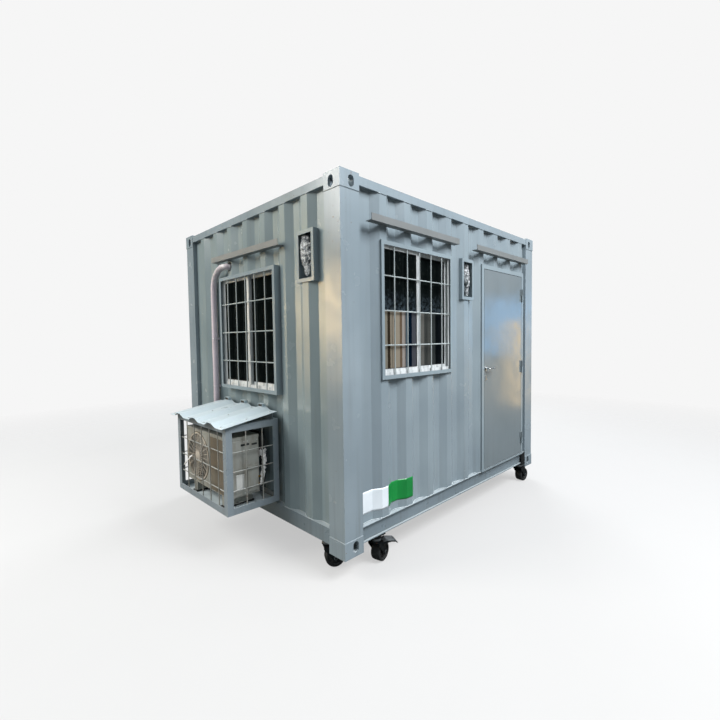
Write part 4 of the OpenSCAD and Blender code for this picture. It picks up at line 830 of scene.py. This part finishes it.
for z in wrap["clips"]:  # saddle straps that hold the drop on its blocks
    z += tall / 2
    arc = [at(out - strap * math.cos(math.radians(a)), drop + strap * math.sin(math.radians(a)), z)
           for a in range(-90, 91, 10)]
    ends = [at(4.4, drop + side * strap, z) for side in (-1, 1)]
    addTube(bm, [ends[0]] + arc + [ends[1]], wrap["wire"], 8)
makePiece("line_saddles", bm, zincPlate, 35)
bm = bmesh.new()  # putty round the hole in the wall
around, thick = wrap["putty"]
ring = [at(40, hole + around * c, high + around * s) for c, s in circle(28)]
addBead(bm, ring + ring[:1], thick, 8)
makePiece("line_putty", bm, looseTape, 60)
print("line wrapped")


# castors: tyre, disc, nuts, race and, on two, the pad of the brake pedal
castor = {"tyre": [(52, -35), (55, -38.4), (64, -38.4), (69.4, -35), (71.6, -27), (71.98, -12), (71.98, 12),
                   (71.6, 27), (69.4, 35), (64, 38.4), (55, 38.4), (52, 35), (51, 0), (52, -35)],
          "disc": [(8.2, -42), (20, -42), (22, -40), (23, -20), (45, -18), (49, -30), (52.5, -32),
                   (52.5, 32), (49, 30), (45, 18), (23, 20), (22, 40), (20, 42), (8.2, 42), (8.2, -42)],
          "nut": [(15, 0), (15, 1.6), (13, 1.6), (13, 3.6), (11.5, 4.6), (0, 4.6)], "nutOut": 49.2,
          "race": [(36.4, 0), (37.6, 3), (37.6, 11), (36.4, 15)], "raceFrom": 172,
          "ribs": 6, "rib": (21, 21, 48, 5), "braked": (1, 4), "pedal": 39,
          "pad": [(46, 161), (70, 169.2), (137, 159.2), (148, 148.5)], "padHalf": 41, "padThick": 1.6,
          "bars": (-0.8, -0.4, 0, 0.4, 0.8), "screws": (52, 22), "plateUnder": 52}
for n in range(1, 7):
    swivel = inBox(joints[f"castor_swivel_{n}"]["pos_m"])
    hub = Vector(joints[f"wheel_roll_{n}"]["pos_m"])
    axle = Vector(joints[f"wheel_roll_{n}"]["axis"]).normalized()
    bm = bmesh.new()
    addTurned(bm, castor["tyre"], hub, axle, 72)
    tyre = makePiece(f"castor_tyre_{n}", bm, rubber, 40, body=f"wheel_{n}")
    bm = bmesh.new()
    addTurned(bm, castor["disc"], hub, axle, 48)
    side = axle.orthogonal().normalized()
    out, inner, outer, thick = castor["rib"]
    for face in (-1, 1):
        for c, s in circle(castor["ribs"]):
            spoke = side * c + axle.cross(side) * s
            root = hub + axle * face * out / 1000
            addTube(bm, [root + spoke * inner / 1000, root + spoke * outer / 1000], thick, 8)
    makePiece(f"castor_disc_{n}", bm, blackPlastic, body=f"wheel_{n}")
    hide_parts(f"castor_wheel_{n}")

    bm = bmesh.new()
    for face in (-1, 1):  # axle nuts with their washers
        addTurned(bm, castor["nut"], hub + axle * face * castor["nutOut"] / 1000, axle * face, 6)
    ground = Vector((*(corner + swivel / 1000)[:2], 0))
    addTurned(bm, castor["race"], ground + Vector((0, 0, castor["raceFrom"] / 1000)), (0, 0, 1), 40)
    if n in castor["braked"]:  # ribbed pad on the pedal
        trail = hub - ground
        turn = math.atan2(trail.y, trail.x) + math.radians(castor["pedal"] * (-1 if n == 1 else 1))
        ahead = Vector((math.cos(turn), math.sin(turn), 0))
        half = Vector((-math.sin(turn), math.cos(turn), 0)) * castor["padHalf"] / 1000
        pad = [ground + ahead * a / 1000 + Vector((0, 0, z / 1000)) for a, z in castor["pad"]]
        rows = [[bm.verts.new(p + half * s + Vector((0, 0, lift))) for s in (-1, 1)]
                for lift in (0, castor["padThick"] / 1000) for p in pad]
        for low, high in ((0, 1), (1, 2), (2, 3), (4, 5), (5, 6), (6, 7), (0, 4), (3, 7)):
            bm.faces.new((rows[low][0], rows[low][1], rows[high][1], rows[high][0]))
        for s in (0, 1):
            for k in range(3):
                bm.faces.new((rows[k][s], rows[k + 1][s], rows[k + 5][s], rows[k + 4][s]))
        for s in castor["bars"]:
            addTube(bm, [p + half * s + Vector((0, 0, 0.002)) for p in pad[1:3]], 2.4, 8)
        addTube(bm, [pad[3] - half, pad[3] + half], 2.6, 8)
    makePiece(f"castor_nuts_{n}", bm, dullZinc, body=f"castor_{n}")

    bm = bmesh.new()  # screws of the mounting plate, which lies the other way under the end rails
    long, short = castor["screws"] if n % 3 else castor["screws"][::-1]
    for sx in (-1, 1):
        for sy in (-1, 1):
            addBolt(bm, at(swivel.x + sx * long, swivel.y + sy * short, castor["plateUnder"]), (0, 0, -1))
    makePiece(f"castor_screws_{n}", bm, dullZinc)
print("castors dressed")


# plugs in the wall niches, wrapped in crumpled film: middle of the film, its depth, half width, levels,
# and how its girth goes from top to bottom as shares of its height and half width
plugs = {"end": {"along": 396, "deep": 30, "half": 56, "low": 1945, "high": 2240, "thick": 27, "sway": 1},
         "side": {"along": 1606, "deep": 40, "half": 40, "low": 1872, "high": 2168, "thick": 26, "sway": 3}}
girth = [(0.0, 0.05), (0.02, 0.4), (0.08, 0.65), (0.17, 0.8), (0.27, 0.9), (0.36, 0.95), (0.46, 0.9),
         (0.58, 1.0), (0.7, 0.85), (0.8, 0.6), (0.88, 0.4), (0.95, 0.3), (0.99, 0.22), (1.0, 0.05)]


def between(steps, place):
    # the value at a place in a list of (place, value), straight from one step to the next
    k = max(j for j, (start, _) in enumerate(steps) if start <= place)
    start, value = steps[k]
    end, following = steps[min(k + 1, len(steps) - 1)]
    return value + (following - value) * ((place - start) / (end - start) if end > start else 0)


for which, plug in plugs.items():
    bm = bmesh.new()
    rows = []
    tall = plug["high"] - plug["low"]
    for i in range(57):
        share = i / 56
        wide = between(girth, share)
        sway = 0.22 * math.sin(share * 5 + plug["sway"])
        row = []
        for c, s in circle(40):
            spot = Vector((c, s, share * tall / 60))
            fold = 1 + 0.5 * noise.noise(spot * 1.9 + Vector((7, 0, 0))) + 0.28 * noise.noise(spot * 4.6)
            along = plug["along"] + plug["half"] * (wide * fold * c + sway)
            deep = plug["deep"] + plug["thick"] * wide * fold * s
            place = (deep, along) if which == "end" else (along, deep)
            row.append(bm.verts.new(at(*place, plug["high"] - tall * share)))
        rows.append(row)
    addSkin(bm, rows, True)
    bm.faces.new(rows[0])
    bm.faces.new(rows[-1][::-1])
    makePiece(f"plug_film_{which}", bm, film, 24)
print("niches filled")


# cooling unit: lid, panels, fan, guard rings, grips, valves, pipes and label
caseLow, caseHigh = span("unit_case")
guardLow, guardHigh = span("unit_fan_guard")
front, back, near, far = caseLow.x, caseHigh.x, caseLow.y, caseHigh.y
fan = ((guardLow.y + guardHigh.y) / 2, (guardLow.z + guardHigh.z) / 2)
unit = {
    "low": 310, "lid": 20, "lidOver": 3, "below": 24, "above": 6, "proud": 1.5, "panelEnd": 232,
    "split": -255, "seam": 4,
    "ring": 198, "lip": [(0, 0), (8, 0), (6, 3), (1, 4.2), (-4, 3), (-5, 0), (0, 0)],
    "rings": (58, 186, 14), "wire": 1.5, "blades": 3, "blade": (44, 80, 120, 160, 178),
    "hub": [(0, 22), (30, 20), (42, 12), (46, 2), (46, 0), (0, 0)],
    "grips": [(-298, -226, 690, 706), (-206, -160, 684, 699)],
    "louvres": (-250, -214), "louvreTop": 618, "louvrePitch": 14, "vents": 6,
    "fins": {"back": (46, 60, 14.4), "far": (12, 40, 16), "wide": 5, "deep": 3.5},
    "screw": [(5, 0), (4.6, 1.8), (2.5, 2.6), (0, 2.6)], "label": (-342, -276, 352, 478), "curl": 5,
    "pipes": ((372, 8), (432, 11)), "pipesOut": 11,
    "valve": [(9, 0), (9, 10), (7, 12), (7, 20), (0, 20)], "stem": [(0, 0), (5, 0), (5, 26), (0, 26)],
    "knot": {"turns": 9, "top": 616, "pitch": 6, "radius": 29},
    "tail": [(-91, 850, 612), (-95, 832, 575), (-104, 816, 530), (-118, 806, 480), (-128, 802, 430),
             (-139, 803, 385), (-146, 806, 362)],
    "tailGirth": [(0, 14), (10, 25), (20, 19), (30, 24), (40, 16), (50, 12), (60, 4)],
    "feet": {"near": near + 90, "far": far - 150}, "foot": (-4, 64, 212, 226),
}
low, high = unit["low"], caseHigh.z
foot, head = low + unit["above"], high - unit["below"]
split, seam, over, proud = unit["split"], unit["seam"], unit["lidOver"], unit["proud"]

makeBlocks("unit_lid", [((front - over, near - over, high - unit["lid"]),
                         (back + over, far + over, high + over))], unitCoat, 2.5)
makeBlocks("unit_front_panel", [((front - proud, near + 4, foot),
                                 (front + 2, fan[0] - unit["panelEnd"], head))], shadedFrontCoat, 1.2)
makeBlocks("unit_side_panels", [((front + 6, near - proud, foot), (split - seam, near + 2, head)),
                                ((split + seam, near - proud, foot), (back - 6, near + 2, head))],
           unitCoat, 1.2)

bm = bmesh.new()  # pressed ring round the fan opening
addTurned(bm, [(unit["ring"] + r, a) for r, a in unit["lip"]], at(front, *fan), (-1, 0, 0), 72)
makePiece("unit_fan_ring", bm, shadedFrontCoat, 40)
bm = bmesh.new()
for radius in range(*unit["rings"]):  # wire rings of the guard
    ring = [at(front - 3.2, fan[0] + radius * c, fan[1] + radius * s) for c, s in circle(56)]
    addTube(bm, ring + ring[:1], unit["wire"], 5)
makePiece("unit_guard_rings", bm, guardCoat, 60)
bm = bmesh.new()  # swept fan blades
root = unit["blade"][0]
for blade in range(unit["blades"]):
    rows = []
    for r in unit["blade"]:
        swing = 2 * math.pi * blade / unit["blades"] + (r - root) / 260
        width = 0.95 - (r - root) / 420
        row = []
        for k in range(7):
            a = swing + width * (k / 6 - 0.5) * (60 / max(r, 60) + 0.55)
            depth = 17 + 9 * math.cos(math.pi * k / 6)
            row.append(bm.verts.new(at(front + depth, fan[0] + r * math.cos(a), fan[1] + r * math.sin(a))))
        rows.append(row)
    addSkin(bm, rows)
makePiece("unit_fan_blades", bm, blackPlastic, 60, thick=1.6)
bm = bmesh.new()
addTurned(bm, unit["hub"], at(front + 26, *fan), (-1, 0, 0), 32)
makePiece("unit_fan_hub", bm, blackPlastic, 40)

makeBlocks("unit_grips", [((x0, near - 2.6, z0), (x1, near - 1, z1)) for x0, x1, z0, z1 in unit["grips"]],
           blackPlastic, 2)  # moulded in the side panels, with pressed louvres under them
levels = [unit["louvreTop"] - unit["louvrePitch"] * k for k in range(unit["vents"])]
x0, x1 = unit["louvres"]
makeBlocks("unit_louvres", [((x0, near - 3.6, z), (x1, near - 1, z + 4)) for z in levels], unitCoat, 1)
bm = bmesh.new()
for x in (front + 14, split - 14, split + 14, back - 14):  # panel screws
    for z in (low + 18, high - 38):
        addTurned(bm, unit["screw"], at(x, near - proud, z), (0, -1, 0), 12)
makePiece("unit_screws", bm, zincPlate, 40)

fins, blocks = unit["fins"], []  # coil fins on the back and the far side
count, first, pitch = fins["back"]
for y in (near + first + k * pitch for k in range(count)):
    blocks.append(((back, y, low + 14), (back + fins["deep"], y + fins["wide"], high - 26)))
count, first, pitch = fins["far"]
for x in (front + first + k * pitch for k in range(count)):
    blocks.append(((x, far, low + 14), (x + fins["wide"], far + fins["deep"], high - 26)))
makeBlocks("unit_coil_fins", blocks, finStock)

bm = bmesh.new()  # service valves and their flare nuts
out = near - unit["pipesOut"]
for z, _ in unit["pipes"]:
    addTurned(bm, unit["valve"], at(-165, out, z), (1, 0, 0), 6)
    addTurned(bm, unit["stem"], at(-150, out, z), (1, 0, 0), 12)
makePiece("unit_valves", bm, brass)
bm = bmesh.new()
for k, (z, r) in enumerate(unit["pipes"]):
    y = wrap["end"][0] + (k - 0.5) * 22
    route = [(-90, y, 580), (-90, y, 545), (-91, y - 3, 515), (-94, y - 12, z + 50), (-100, near + 1, z + 18),
             (-112, near - 9, z + 4), (-128, out, z)]
    addTube(bm, smoothly([at(*p) for p in route], 5), r, 12)
makePiece("unit_pipes", bm, blackPlastic, 60)
bm = bmesh.new()  # tape wound over the end of the line, and the creased end that hangs from it
knot = unit["knot"]
turns = range(knot["turns"])
coil = [at(-90 + 5 * math.sin(k * 2.1), wrap["end"][0] + 6 * math.cos(k * 1.7),
           knot["top"] - k * knot["pitch"]) for k in turns]
addTube(bm, coil, [knot["radius"] + 3 * math.sin(k * 1.9) for k in turns], 20, crumple=0.3)
makePiece("unit_tape_knot", bm, looseTape, 70)
bm = bmesh.new()
tail = smoothly([at(*p) for p in unit["tail"]], 9)
radii = [between(unit["tailGirth"], i) for i in range(len(tail))]
addTube(bm, tail, radii, 22, squash=0.6, crumple=0.9)
makePiece("unit_tape_end", bm, looseTape, 28)

bm = bmesh.new()  # bare label, one corner lifting
x0, x1, z0, z1 = unit["label"]
rows = []
for k, z in enumerate(evenSteps(z0, z1, 12)):
    lifts = [max(0, (i - 5) / 3) * max(0, (k - 9) / 3) * unit["curl"] for i in range(9)]
    rows.append([bm.verts.new(at(x, near - 1.9 - lift, z)) for x, lift in zip(evenSteps(x0, x1, 8), lifts)])
addSkin(bm, rows)
makePiece("unit_label", bm, labelFilm, 60, thick=0.3)
y0, y1, z0, z1 = unit["foot"]
for name, y in unit["feet"].items():
    makeBlocks(f"unit_foot_pad_{name}", [((front - over, y + y0, z0), (back + over, y + y1, z1))],
               rubber, 3)
print("cooling unit dressed")


# cage: a strip of tape knotted on its front bars; screws, foam closures and their strips on its roof
strip = {"route": [(-437, 1550, 436), (-442, 1508, 462), (-438, 1466, 492), (-443, 1420, 518),
                   (-438, 1376, 548)],
         "girth": [(0, 9), (9, 16), (18, 11), (27, 15), (36, 7)], "squash": 0.35}
bm = bmesh.new()
curve = smoothly([at(*p) for p in strip["route"]], 9)
radii = [between(strip["girth"], i) for i in range(len(curve))]
addTube(bm, curve, radii, 18, strip["squash"], crumple=0.8)
makePiece("cage_tape_strip", bm, looseTape, 28)


def above(node, x, y):
    # where a plumb line meets the top of a CAD node, and the way that its face looks
    found, place, normal, _ = nodes[node].ray_cast(at(x, y, 3000), Vector((0, 0, -1)))
    return (place, normal) if found else (at(x, y, 0), Vector((0, 0, 1)))


hood = {"rows": (-466, -262, -58), "flats": (788, 1070, 1358, 1640),
        "screw": [(8, 0), (8, 1.4), (6.2, 1.6), (6.2, 4.6), (4.6, 5.6), (0, 5.8)],
        "clips": (928, 1214, 1502), "clipRow": -47, "half": 31, "rim": 3, "tall": 19}
bpy.context.view_layer.update()
bm = bmesh.new()
for x in hood["rows"]:
    for y in hood["flats"]:
        spot, way = above("cage_roof_sheet", x, y)
        addTurned(bm, hood["screw"], spot, way, 6)
makePiece("cage_roof_screws", bm, zincPlate)
foam, rims = [], []
half, tall = hood["half"], hood["tall"]
for y in hood["clips"]:  # foam closures over the crests against the wall, held by a bent strip
    low = inBox(above("cage_roof_sheet", hood["clipRow"], y)[0])
    foot, top = low.z - 2, low.z + tall
    foam.append(((low.x - 10, y - half, foot), (low.x + 17, y + half, top)))
    for edge in (y - half - hood["rim"], y + half):
        rims.append(((low.x - 14, edge, foot), (low.x + 18, edge + hood["rim"], top + 2)))
    rims.append(((low.x - 14, y - half, top), (low.x + 18, y + half, top + 2)))
makeBlocks("cage_roof_closures", foam, rubber, 1)
makeBlocks("cage_roof_fixings", rims, paint["cage sheets"])
print("cage dressed")
